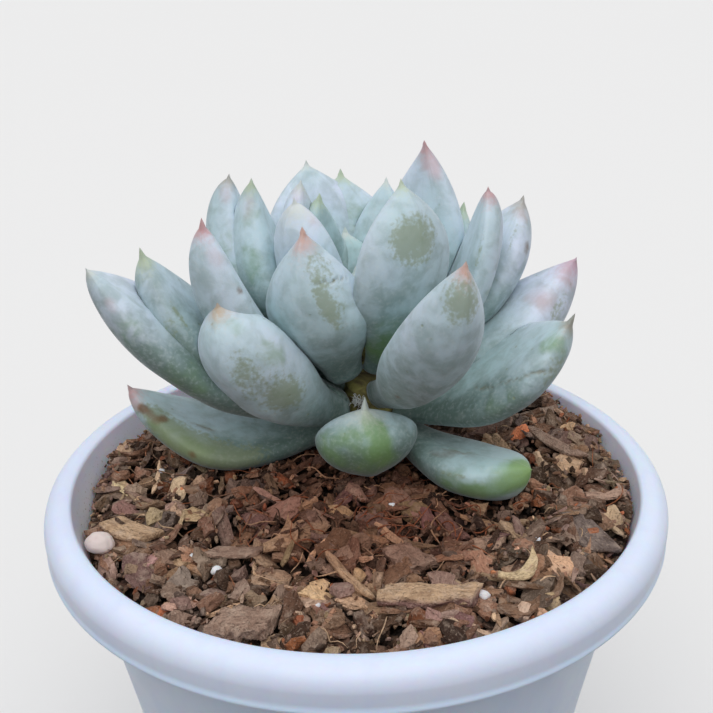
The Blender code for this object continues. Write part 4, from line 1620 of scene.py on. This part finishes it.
def splinter(
    rng: np.random.Generator,
    size: tuple[float, float, float],
    stations: int,
    sides: int,
    jagged: float,
    bend: float,
    taper: tuple[float, float] = (0.4, 0.8),
) -> np.ndarray:
    """A rough piece of bark in its own axes, with X along it.

    Args:
        rng: The random numbers to use.
        size: Its length, width and thickness.
        stations: How many rings of points it has.
        sides: How many points each ring has.
        jagged: How uneven it is, from 0 to 1.
        bend: How far its ends lift, as a share of its length.
        taper: The range of its ends' width, as shares of its width.

    Returns:
        The rings' points in order, then the two ends' points.
    """
    length, width, thickness = size
    shares = np.linspace(-0.5, 0.5, stations)
    ends = rng.uniform(*taper, 2)
    outline = 1 - (1 - np.where(shares < 0, ends[0], ends[1])) * (np.abs(shares) * 2) ** rng.uniform(1.4, 3)
    outline *= 1 + jagged * 0.35 * rng.uniform(-1, 1, stations)
    swing = np.cumsum(rng.normal(size=stations)) * jagged * width * 0.06
    angles = circle_angles(sides, 0.5)
    cos, sin = np.cos(angles), np.sin(angles)
    squared = np.maximum(np.abs(cos), np.abs(sin)) ** 0.75
    cos, sin = cos / squared, sin / squared
    wobble = 1 + jagged * 0.3 * rng.uniform(-1, 1, (stations, sides))
    slant = rng.uniform(-0.35, 0.35, 2) * width
    lift = bend * length * 4 * shares**2
    twist = rng.normal() * 0.25 * shares
    slanted = np.where(shares < 0, slant[0], slant[1])[:, None] * cos * 0.5
    x = shares[:, None] * length + slanted * np.abs(shares * 2)[:, None] ** 3
    x = x + jagged * rng.uniform(-1, 1, (stations, sides)) * length * 0.05
    y = swing[:, None] + width / 2 * outline[:, None] * cos * wobble
    z = lift[:, None] + thickness / 2 * sin * wobble * (0.6 + 0.4 * outline[:, None]) + twist[:, None] * y
    rings = np.stack([x, y, z], 2).reshape(-1, 3)
    cut = rng.uniform(0.0, 0.05, 2) * length
    middle_low, middle_high = rings[:sides].mean(0), rings[-sides:].mean(0)
    return np.concatenate([rings, [middle_low - [cut[0], 0, 0]], [middle_high + [cut[1], 0, 0]]])


def clear_of(leaves: BVHTree, points: np.ndarray) -> bool:
    """Tells if a piece stays outside the leaves.

    Args:
        leaves: A search tree of the leaves.
        points: The piece's points.

    Returns:
        True if it does.
    """
    middle = points.mean(0)
    place, _, _, distance = leaves.find_nearest(Vector(middle))
    reach = float(np.linalg.norm(points - middle, axis=1).max())
    if place is None or distance > reach + LEAF_SPARE:
        return True
    for point in points:
        place, normal, _, _ = leaves.find_nearest(Vector(point))
        if (Vector(point) - place).dot(normal) < LEAF_TOUCH:
            return False
    return True


@dataclass(frozen=True)
class LitterKind:
    """One kind of piece in the litter: how many there are, their shape and their tones' shares."""

    name: str
    count: int
    length: tuple[float, float]
    width: tuple[float, float]
    thickness: tuple[float, float]
    stations: int
    sides: int
    jagged: float
    bend: float
    tilt: float
    tones: tuple[tuple[Tone, float], ...]
    taper: tuple[float, float] = (0.4, 0.85)


LITTER = (
    LitterKind(
        "bark_crumbs_under", 1700, (1.0, 2.6), (0.7, 1.6), (0.5, 1.1), 3, 5, 0.9, 0.0, 30,
        ((Tone.BROWN, 0.3), (Tone.UMBER, 0.5), (Tone.RUSSET, 0.1), (Tone.DUSTY, 0.1)),
    ),
    LitterKind(
        "bark_flakes_small", 1150, (2.0, 4.6), (1.5, 3.0), (0.35, 0.9), 5, 7, 0.8, 0.06, 28,
        ((Tone.BROWN, 0.40), (Tone.DUSTY, 0.20), (Tone.UMBER, 0.18), (Tone.TAN, 0.08), (Tone.RUSSET, 0.05),
         (Tone.PLUM, 0.09)),
    ),
    LitterKind(
        "bark_lumps", 460, (2.0, 4.6), (1.6, 3.4), (1.3, 2.4), 4, 7, 0.85, 0.0, 26,
        ((Tone.BROWN, 0.45), (Tone.DUSTY, 0.24), (Tone.UMBER, 0.10), (Tone.TAN, 0.12), (Tone.RUSSET, 0.09)),
    ),
    LitterKind(
        "bark_flakes_large", 330, (4.2, 8.0), (2.6, 4.8), (0.5, 1.3), 7, 8, 0.7, 0.07, 19,
        ((Tone.BROWN, 0.40), (Tone.DUSTY, 0.28), (Tone.UMBER, 0.08), (Tone.TAN, 0.10), (Tone.PLUM, 0.08),
         (Tone.SLATE, 0.06)),
    ),
    LitterKind(
        "bark_splinters", 210, (4.0, 9.0), (0.7, 1.5), (0.4, 0.8), 7, 4, 0.6, 0.05, 14,
        ((Tone.BROWN, 0.36), (Tone.DUSTY, 0.26), (Tone.TAN, 0.18), (Tone.UMBER, 0.12), (Tone.STRAW, 0.08)),
        (0.2, 0.6),
    ),
    LitterKind(
        "bark_crumbs_over", 3000, (0.4, 1.5), (0.3, 1.0), (0.25, 0.8), 3, 5, 0.9, 0.0, 40,
        ((Tone.BROWN, 0.45), (Tone.DUSTY, 0.2), (Tone.UMBER, 0.16), (Tone.TAN, 0.1), (Tone.RUSSET, 0.09)),
    ),
)


@dataclass
class Litter:
    """The shredded bark over the bed, laid piece by piece on what is already there."""

    ground: Ground
    leaves: BVHTree
    finish: BarkPaint
    rng: np.random.Generator = field(default_factory=lambda: np.random.default_rng(20))

    def tone(self, kind: LitterKind) -> np.ndarray:
        """A tone for one piece, varied a little.

        Args:
            kind: The kind of piece.

        Returns:
            The tone.
        """
        shares = np.array([share for _, share in kind.tones])
        pick = self.rng.choice(len(shares), p=shares / shares.sum())
        base = np.array(kind.tones[pick][0].value)
        return base * math.exp(self.rng.normal() * 0.42 - 0.12) * (1 + self.rng.uniform(-0.06, 0.06, 3))

    def lay(self, kind: LitterKind) -> bpy.types.Object:
        """Lays all the pieces of one kind.

        Args:
            kind: The kind of piece.

        Returns:
            The pieces, as one object.
        """
        rng, pile = self.rng, Pile()
        faces = loft_faces(kind.stations, kind.sides)
        limit = self.ground.pot.rim_inside - 0.4 * MM
        for _ in range(kind.count):
            radius, turn = limit * math.sqrt(rng.uniform()), rng.uniform(0, 2 * math.pi)
            x, y = radius * math.cos(turn), radius * math.sin(turn)
            size = tuple(rng.uniform(*span) * MM for span in (kind.length, kind.width, kind.thickness))
            length, width, thickness = size
            bend = rng.normal() * kind.bend
            own = splinter(rng, size, kind.stations, kind.sides, kind.jagged, bend, kind.taper)
            heading = rng.uniform(0, 2 * math.pi)
            z, pitch, roll = self.ground.rest(x, y, heading, length, width)
            tilt = math.radians(kind.tilt)
            pitch += rng.normal() * tilt * 0.5
            roll += rng.normal() * tilt
            points = own @ turn_to(heading, pitch, roll).T + [x, y, z + thickness * 0.35]
            points = self.ground.keep_in(points, 0.25 * MM)
            if not clear_of(self.leaves, points):
                continue
            self.ground.cover(points)
            pile.add(points, faces, self.tone(kind), own + rng.uniform(-0.5, 0.5, 3))
        return dress(pile.build(kind.name, self.finish.material()), "bark")


@dataclass
class Bed:
    """The solid bed of mould and bark that fills the pot, under its litter."""

    RINGS = 110
    SIDES = 240

    sizes: BedSizes
    pot: PotSizes
    finish: MouldAndShadePaint

    def build(self) -> bpy.types.Object:
        """Builds the bed and dresses it.

        Returns:
            The finished bed.
        """
        s, angles = self.sizes, circle_angles(self.SIDES)
        unit = np.stack([np.cos(angles), np.sin(angles), np.zeros(self.SIDES)], 1)
        edge = self.pot.inside(s.edge_z)
        rings = []
        for z in np.linspace(s.floor_z, s.edge_z - 3 * MM, 12):
            rings.append(unit * (self.pot.inside(float(z)) - s.gap) + [0, 0, z])
        for radius in np.linspace(edge - s.gap, 0.6 * MM, self.RINGS):
            ring = unit * radius
            ring[:, 2] = s.level(ring[:, 0], ring[:, 1], edge) - 0.25 * MM
            ring[:, 2] += 0.45 * MM * ripple(ring * [1, 1, 0], 6 * MM, 5, 4)
            rings.append(ring)
        ends = [[0, 0, s.floor_z], [0, 0, rings[-1][:, 2].mean()]]
        points = np.concatenate([*rings, np.array(ends)])
        obj = new_mesh_object("bark_mould", points, loft_faces(len(rings), self.SIDES))
        obj.data.materials.append(self.finish.material())
        return dress(obj, "bark", "bark_bed")


class ChipForm(Enum):
    """The form of a large chip."""

    SPLINTER = "splinter"
    PLATE = "plate"
    CURL = "curl"
    BLOCK = "block"
    LOG = "log"


@dataclass(frozen=True)
class ChipSizes:
    """One large piece of bark, in millimetres and degrees. Bend lifts its ends."""

    node: str
    form: ChipForm
    tone: Tone
    x: float
    y: float
    length: float
    width: float
    thickness: float
    heading: float
    tilt: float = 0.0
    bend: float = 0.0


CHIPS = (
    ChipSizes("bark_chunk", ChipForm.LOG, Tone.PLUM, 11, -37, 14.5, 4.2, 2.8, -2),
    ChipSizes("bark_plate", ChipForm.PLATE, Tone.SLATE, 39.2, -21.4, 11, 4.8, 0.9, -70, 6, 0.2),
    ChipSizes("bark_curl", ChipForm.CURL, Tone.STRAW, 26.5, -31, 9.5, 2.4, 0.8, 48, 0, 1.2),
    ChipSizes("bark_front_left", ChipForm.CURL, Tone.TAN, -11.4, -19.8, 8.8, 3.4, 1.2, 65, 8, 0.6),
    ChipSizes("bark_block", ChipForm.BLOCK, Tone.DUSTY, -17, -41, 9.5, 6, 2.4, 0),
    ChipSizes("bark_sliver", ChipForm.SPLINTER, Tone.TAN, -1.6, -30, 13.5, 1.6, 1.1, -57, 0, 0.2),
    ChipSizes("bark_tan_left", ChipForm.PLATE, Tone.TAN, -38.5, -13.8, 9, 4.6, 1.3, -30, 5, 0.3),
    ChipSizes("bark_flat_left", ChipForm.PLATE, Tone.DUSTY, -19.6, -22.4, 8.8, 3.8, 0.9, -16, -5, 0.3),
    ChipSizes("bark_right", ChipForm.BLOCK, Tone.DUSTY, 8.4, -26.6, 7, 4.6, 1.6, -45, 6, 0.2),
    ChipSizes("bark_leaning", ChipForm.PLATE, Tone.PLUM, 16, -16, 8, 2.6, 0.9, -66, 10, 0.3),
    ChipSizes("bark_long_right", ChipForm.SPLINTER, Tone.DUSTY, 37.5, 8, 14, 2.6, 0.9, -54, 3, 0.5),
)


@dataclass
class LargeChips:
    """The large pieces of bark that lie on top of the litter, each with a form of its own."""

    STATIONS = 40
    SIDES = 28

    chips: tuple[ChipSizes, ...]
    ground: Ground
    finish: BarkPaint

    def shape(self, chip: ChipSizes, seed: int) -> np.ndarray:
        """A chip's points in its own axes, with X along it.

        Args:
            chip: The chip's sizes.
            seed: The seed for its unevenness.

        Returns:
            The rings' points in order, then the two ends' points.
        """
        length, width, thickness = (v * MM for v in (chip.length, chip.width, chip.thickness))
        form = chip.form
        shares = np.linspace(-0.5, 0.5, self.STATIONS)
        ends = np.abs(shares) * 2
        angles = circle_angles(self.SIDES, 0.5)
        cos, sin = np.cos(angles), np.sin(angles)
        power = {ChipForm.LOG: 0.75, ChipForm.SPLINTER: 0.8}.get(form, 0.45)
        cos = np.sign(cos) * np.abs(cos) ** power
        sin = np.sign(sin) * np.abs(sin) ** power
        taper = {ChipForm.PLATE: 0.12, ChipForm.CURL: 0.75, ChipForm.SPLINTER: 0.6}.get(form, 0.2)
        outline = 1 - taper * ends ** (2.2 if form is ChipForm.CURL else 4)
        bow = {ChipForm.CURL: 0.24, ChipForm.SPLINTER: 0.03}.get(form, 0.02) * length
        x = np.repeat(shares[:, None] * length, self.SIDES, 1) + 0.22 * width * cos * ends[:, None] ** 4
        y = width / 2 * outline[:, None] * cos + bow * (ends**2)[:, None]
        z = thickness / 2 * sin * (0.65 + 0.35 * outline[:, None]) + chip.bend * MM * (ends**2)[:, None]
        points = np.stack([x, y, z], 2).reshape(-1, 3)
        rough = 0.16 if form in (ChipForm.BLOCK, ChipForm.LOG) else 0.10
        scale = 1.6 * MM if form is ChipForm.BLOCK else 2.6 * MM
        stretched = points * [0.35 if form is not ChipForm.BLOCK else 1.0, 1, 1]
        for axis, size in ((0, width * 0.5), (1, width), (2, thickness * 1.3)):
            points[:, axis] += ripple(stretched, scale, seed * 10 + axis, 4) * rough * size * 0.7
        ends_at = [points[: self.SIDES].mean(0), points[-self.SIDES :].mean(0)]
        return np.concatenate([points, ends_at])

    def build(self) -> list[bpy.types.Object]:
        """Builds every large chip and dresses it.

        Returns:
            The finished chips.
        """
        paint = self.finish.material()
        faces = loft_faces(self.STATIONS, self.SIDES)
        made = []
        for i, chip in enumerate(self.chips):
            own = self.shape(chip, i + 1)
            heading = math.radians(chip.heading)
            x, y = chip.x * MM, chip.y * MM
            z, pitch, roll = self.ground.rest(x, y, heading, chip.length * MM, chip.width * MM)
            turn = turn_to(heading, pitch * 0.6, roll * 0.5 + math.radians(chip.tilt))
            points = own @ turn.T + [x, y, z + chip.thickness * MM * 0.42 + 0.25 * MM]
            points = self.ground.keep_in(points, WALL_SPARE)
            self.ground.cover(points)
            obj = new_mesh_object(f"{chip.node}_piece", points, faces)
            tones = np.tile(np.array(chip.tone.value), (len(points), 1))
            if chip.form is ChipForm.LOG:
                top = smooth((own[:, 2] / (chip.thickness * MM) - 0.05) / 0.3)[:, None]
                tones = tones * (1 - top) + np.array(Tone.TAN.value) * top
            set_values(obj, "tone", tones)
            set_values(obj, "grain", own + [i * 0.31, i * 0.17, 0.0])
            obj.data.materials.append(paint)
            made.append(dress(obj, "bark_chip", chip.node))
        return made


@dataclass
class Fibres:
    """Fine curved fibres of bark and root over the bed."""

    STATIONS = 12
    SIDES = 5

    count: int
    ground: Ground
    leaves: BVHTree
    finish: BarkPaint
    rng: np.random.Generator = field(default_factory=lambda: np.random.default_rng(77))

    def strand(self) -> np.ndarray:
        """One fibre's points in its own axes, with X along it.

        Returns:
            The rings' points in order, then the two ends.
        """
        rng = self.rng
        length, radius = rng.uniform(3, 9) * MM, rng.uniform(0.07, 0.17) * MM
        t = np.linspace(-0.5, 0.5, self.STATIONS)
        waves = rng.normal(size=4) * [0.22, 0.10, 0.10, 0.05] * length
        y = waves[0] * t**2 * 2 + waves[1] * np.sin(t * 7 + rng.uniform(0, 6))
        z = np.abs(waves[2]) * (0.25 - t**2) * 2 + waves[3] * np.sin(t * 9 + rng.uniform(0, 6))
        line = np.stack([t * length, y, z], 1)
        angles = circle_angles(self.SIDES)
        ring = np.stack([np.zeros(self.SIDES), np.cos(angles), np.sin(angles)], 1) * radius
        thin = (1 - 0.75 * (2 * np.abs(t)) ** 3)[:, None, None]
        points = (line[:, None, :] + ring[None] * thin).reshape(-1, 3)
        return np.concatenate([points, [line[0]], [line[-1]]])

    def build(self) -> bpy.types.Object:
        """Builds the fibres and dresses them.

        Returns:
            The fibres, as one object.
        """
        rng, pile, ground = self.rng, Pile(), self.ground
        faces = loft_faces(self.STATIONS, self.SIDES)
        tones = (Tone.RUSSET, Tone.BROWN, Tone.TAN, Tone.UMBER)
        for i in range(self.count):
            close = i % 3 == 0
            if close:
                x, y = rng.normal(4 * MM, 13 * MM), rng.normal(-14 * MM, 7 * MM)
            else:
                radius, turn = (ground.pot.rim_inside - 4 * MM) * math.sqrt(rng.uniform()), rng.uniform(*ANY_WAY)
                x, y = radius * math.cos(turn), radius * math.sin(turn)
            own = self.strand()
            heading = rng.uniform(*ANY_WAY)
            z, pitch, roll = ground.rest(x, y, heading, 4 * MM, 0.6 * MM)
            points = own @ turn_to(heading, pitch, roll + rng.normal() * 0.5).T + [x, y, z + 0.3 * MM]
            points = ground.keep_in(points, WALL_SPARE)
            if not clear_of(self.leaves, points):
                continue
            tone = np.array(tones[0 if close and i % 2 else int(rng.integers(4))].value) * rng.uniform(0.9, 1.5)
            pile.add(points, faces, tone, own + rng.uniform(-0.5, 0.5, 3))
        return dress(pile.build("bark_fibres", self.finish.material(), True), "bark")


@dataclass(frozen=True)
class FluffSizes:
    """A small tuft of white fluff caught at the foot of the stem, in millimetres."""

    x: float = 0.6
    y: float = 7.2
    z: float = 99.7
    spread: tuple[float, float, float] = (0.9, 0.6, 1.0)
    threads: int = 26
    length: tuple[float, float] = (0.8, 2.0)
    radius: float = 0.075


@dataclass
class Fluff:
    """Fine white threads, tangled in a loose ball."""

    STATIONS = 9
    SIDES = 4

    sizes: FluffSizes
    finish: PalePaint

    def build(self) -> bpy.types.Object:
        """Builds the tuft and dresses it.

        Returns:
            The threads, as one object.
        """
        s, rng, pile = self.sizes, np.random.default_rng(9), Pile()
        faces = loft_faces(self.STATIONS, self.SIDES)
        t = np.linspace(-0.5, 0.5, self.STATIONS)
        angles = circle_angles(self.SIDES)
        ring = np.stack([np.zeros(self.SIDES), np.cos(angles), np.sin(angles)], 1) * s.radius * MM
        for _ in range(s.threads):
            length = rng.uniform(*s.length) * MM
            bow, wave = rng.normal(size=2) * [0.9, 0.22] * length
            line = np.stack([t * length, bow * t**2, wave * np.sin(t * 8 + rng.uniform(0, 6))], 1)
            own = (line[:, None, :] + ring[None]).reshape(-1, 3)
            own = np.concatenate([own, line[[0, -1]]])
            middle = np.array([s.x, s.y, s.z]) + rng.normal(size=3) * np.array(s.spread) * 0.5
            points = own @ turn_to(*rng.uniform(*ANY_WAY, 3)).T + middle * MM
            pile.add(points, faces, np.ones(3), own)
        return dress(pile.build("white_fluff", self.finish.material(), True), None)


# ---- grains


@dataclass(frozen=True)
class Grain:
    """One pale grain on the bed, in millimetres."""

    x: float
    y: float
    size: float
    flat: float = 0.8


@dataclass(frozen=True)
class PebbleSizes:
    """The pebble's place and sizes, in millimetres. Lying is the width that it rests on."""

    x: float = -43.0
    y: float = -17.2
    size: tuple[float, float, float] = (4.9, 4.2, 3.6)
    lying: float = 3.0
    lift: float = 1.3
    uneven: float = 0.07


PERLITE = (
    Grain(-22.5, -26, 1.7, 0.8),
    Grain(19.1, -36.3, 2.0, 0.7),
    Grain(9.4, -24, 1.6, 0.7),
    Grain(6.2, -10.5, 1.2, 0.7),
    Grain(-27, -22, 1.3, 0.8),
    Grain(29.5, -22, 1.1, 0.8),
    Grain(-6, -36.5, 0.9, 0.8),
    Grain(-36, 5, 1.2, 0.8),
    Grain(30, 26, 1.4, 0.8),
    Grain(-20, 34, 1.5, 0.8),
    Grain(12, 42, 1.2, 0.8),
)


def lump(size: tuple[float, float, float], detail: int, uneven: float, seed: int) -> bmesh.types.BMesh:
    """A rounded uneven lump about the origin.

    Args:
        size: Its length, width and height.
        detail: How finely it is divided.
        uneven: How uneven it is, as a share of its size.
        seed: The seed for its unevenness.

    Returns:
        The lump.
    """
    bm = bmesh.new()
    bmesh.ops.create_icosphere(bm, subdivisions=detail, radius=0.5)
    unit = np.array([v.co for v in bm.verts])
    swell = 1 + uneven * ripple(unit, 0.9, seed, 3)
    for vert, share in zip(bm.verts, swell):
        vert.co = Vector(c * s * float(share) for c, s in zip(vert.co, size))
    return bm


@dataclass
class Grains:
    """The pale pebble by the wall, and the grains of perlite."""

    ground: Ground
    pebble_sizes: PebbleSizes

    def pebble(self, finish: PalePaint) -> bpy.types.Object:
        """Builds the pebble and dresses it.

        Args:
            finish: The pebble's paint.

        Returns:
            The finished pebble.
        """
        s = self.pebble_sizes
        bm = lump(tuple(v * MM for v in s.size), 5, s.uneven, 3)
        mesh = to_mesh(bm, "pebble_stone")
        mesh.shade_smooth()
        x, y, lying = s.x * MM, s.y * MM, s.lying * MM
        z, _, _ = self.ground.rest(x, y, 0.0, lying, lying)
        mesh.transform(Matrix.Translation((x, y, z + s.lift * MM)))
        mesh.materials.append(finish.material())
        return dress(link_new("pebble_stone", mesh), "pebble", "pebble")

    def perlite(self, grains: tuple[Grain, ...], finish: PalePaint) -> bpy.types.Object:
        """Builds the grains of perlite and dresses them.

        Args:
            grains: The grains.
            finish: Their paint.

        Returns:
            The grains, as one object.
        """
        whole = bmesh.new()
        for i, grain in enumerate(grains):
            size = grain.size * MM
            bm = lump((size, size * 0.85, size * grain.flat), 3, 0.2, 30 + i)
            x, y = grain.x * MM, grain.y * MM
            z, _, _ = self.ground.rest(x, y, 0.0, size, size)
            bmesh.ops.translate(bm, verts=bm.verts, vec=(x, y, z + size * 0.3))
            mesh = to_mesh(bm, "grain")
            whole.from_mesh(mesh)
            bpy.data.meshes.remove(mesh)
        mesh = to_mesh(whole, "perlite_grains")
        mesh.shade_smooth()
        mesh.materials.append(finish.material())
        return dress(link_new("perlite_grains", mesh), None)


# ---- studio


@dataclass(frozen=True)
class StudioSizes:
    """The studio's floor, lights and camera."""

    floor: float = 8.0
    floor_tiles: int = 8
    sky: tuple[tuple[float, float], ...] = ((-1.0, 0.05), (-0.05, 0.13), (0.1, 0.42), (0.5, 0.86), (1.0, 0.94))
    key: float = 0.95
    key_angle: float = 50.0
    key_lean: tuple[float, float] = (-4.0, 33.0)
    eye: tuple[float, float, float] = (0.6 * MM, -171.9 * MM, 191.4 * MM)
    pitch: float = 24.76
    roll: float = -1.09
    lens: float = 55.54
    sensor: float = 36.0
    sees: tuple[float, float] = (0.01, 50.0)


@dataclass
class Studio:
    """A plain pale floor, soft light from above and a camera."""

    sizes: StudioSizes
    finish: FloorPaint

    def floor(self) -> bpy.types.Object:
        """Lays the floor.

        Returns:
            The floor.
        """
        half, tiles = self.sizes.floor / 2, self.sizes.floor_tiles
        line = np.linspace(-half, half, tiles + 1)
        x, y = np.meshgrid(line, line, indexing="ij")
        points = np.stack([x.ravel(), y.ravel(), np.zeros(x.size)], 1)
        corners = [i * (tiles + 1) + j for i in range(tiles) for j in range(tiles)]
        faces = [(c, c + tiles + 1, c + tiles + 2, c + 1) for c in corners]
        obj = new_mesh_object("floor", points, faces)
        obj.data.materials.append(self.finish.material())
        obj.visible_diffuse = False
        return obj

    def lights(self) -> None:
        """Sets the soft sky and the broad key light."""
        world = bpy.data.worlds.new("studio_sky")
        world.use_nodes = True
        nodes, links = world.node_tree.nodes, world.node_tree.links
        background = nodes["Background"]
        background.inputs["Color"].default_value = (0.985, 0.99, 1.0, 1.0)
        height = nodes.new("ShaderNodeSeparateXYZ")
        spread = nodes.new("ShaderNodeMapRange")
        spread.inputs["From Min"].default_value = -1.0
        ramp = nodes.new("ShaderNodeValToRGB").color_ramp
        for z, _ in self.sizes.sky[1:-1]:
            ramp.elements.new((z + 1) / 2)
        for element, (z, level) in zip(ramp.elements, self.sizes.sky):
            element.position = (z + 1) / 2
            element.color = (level, level, level, 1.0)
        links.new(nodes.new("ShaderNodeTexCoord").outputs["Generated"], height.inputs["Vector"])
        links.new(height.outputs["Z"], spread.inputs["Value"])
        links.new(spread.outputs["Result"], nodes["Color Ramp"].inputs["Fac"])
        links.new(nodes["Color Ramp"].outputs["Color"], background.inputs["Strength"])
        bpy.context.scene.world = world
        light = bpy.data.lights.new("key", "SUN")
        light.energy = self.sizes.key
        light.angle = math.radians(self.sizes.key_angle)
        light.color = (1.0, 0.995, 0.985)
        lean_x, lean_y = (math.radians(a) for a in self.sizes.key_lean)
        link_new("key", light).rotation_euler = (lean_y, lean_x, 0.0)

    def camera(self) -> bpy.types.Object:
        """Sets up the camera, a little above the plant and looking down at it.

        Returns:
            The camera.
        """
        s = self.sizes
        data = bpy.data.cameras.new("camera")
        data.lens = s.lens
        data.sensor_width = s.sensor
        data.clip_start, data.clip_end = s.sees
        data.dof.use_dof = False
        obj = link_new("camera", data)
        turn = Matrix.Rotation(math.radians(90 - s.pitch), 4, "X") @ Matrix.Rotation(math.radians(s.roll), 4, "Z")
        obj.matrix_world = Matrix.Translation(s.eye) @ turn
        bpy.context.scene.camera = obj
        return obj

    def build(self) -> None:
        """Builds the studio."""
        self.floor()
        self.lights()
        self.camera()
        view = bpy.context.scene.view_settings
        view.view_transform = "Standard"
        view.look = "None"
        view.exposure = 0.0
        view.gamma = 1.0


def report(piece: bpy.types.Object) -> None:
    """Logs a piece's name and how many points it has."""
    log.info("%s: %d points", piece.name, len(piece.data.vertices))


def main() -> None:
    """Builds and dresses the whole object."""
    logging.basicConfig(level=logging.INFO, format="%(name)s: %(message)s")
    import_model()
    pot_sizes, stem_sizes, bed_sizes = PotSizes(), StemSizes(), BedSizes()
    pot = Pot(pot_sizes, PotPlastic()).build()
    report(pot)
    stem = Stem(stem_sizes, StemSkin()).build()
    report(stem)
    rosette = Rosette(LEAVES, stem_sizes, LeafSkin())
    for leaf in rosette.build():
        report(leaf)
    bed = Bed(bed_sizes, pot_sizes, MouldAndShadePaint()).build()
    report(bed)
    ground = Ground(bed_sizes, pot_sizes)
    low_leaves = rosette.low_trees(LOW_LEAVES)
    litter = Litter(ground, low_leaves, BarkPaint())
    layers = [litter.lay(kind) for kind in LITTER]
    layers += LargeChips(CHIPS, ground, BarkPaint("bark_large", 0.6, 0.4)).build()
    layers.append(Fibres(FIBRES, ground, low_leaves, BarkPaint("bark_fibre")).build())
    # Painted shade in the low places of every layer, and painted shadow with damp round the plant.
    for pieces in layers:
        ground.shade_and_dampen(pieces)
        report(pieces)
    fluff = Fluff(FluffSizes(), PalePaint("fluff", (0.80, 0.80, 0.78), (0.66, 0.65, 0.62), 900, 0.00002)).build()
    report(fluff)
    grains = Grains(ground, PebbleSizes())
    pebble = grains.pebble(PalePaint("pebble_stone", (0.74, 0.63, 0.60), (0.60, 0.47, 0.44), 500, 0.0002))
    report(pebble)
    perlite = grains.perlite(PERLITE, PalePaint("perlite", (0.80, 0.80, 0.83), (0.62, 0.60, 0.62), 1500, 0.0002))
    report(perlite)
    Studio(StudioSizes(), FloorPaint()).build()


if __name__ == "__main__":
    main()
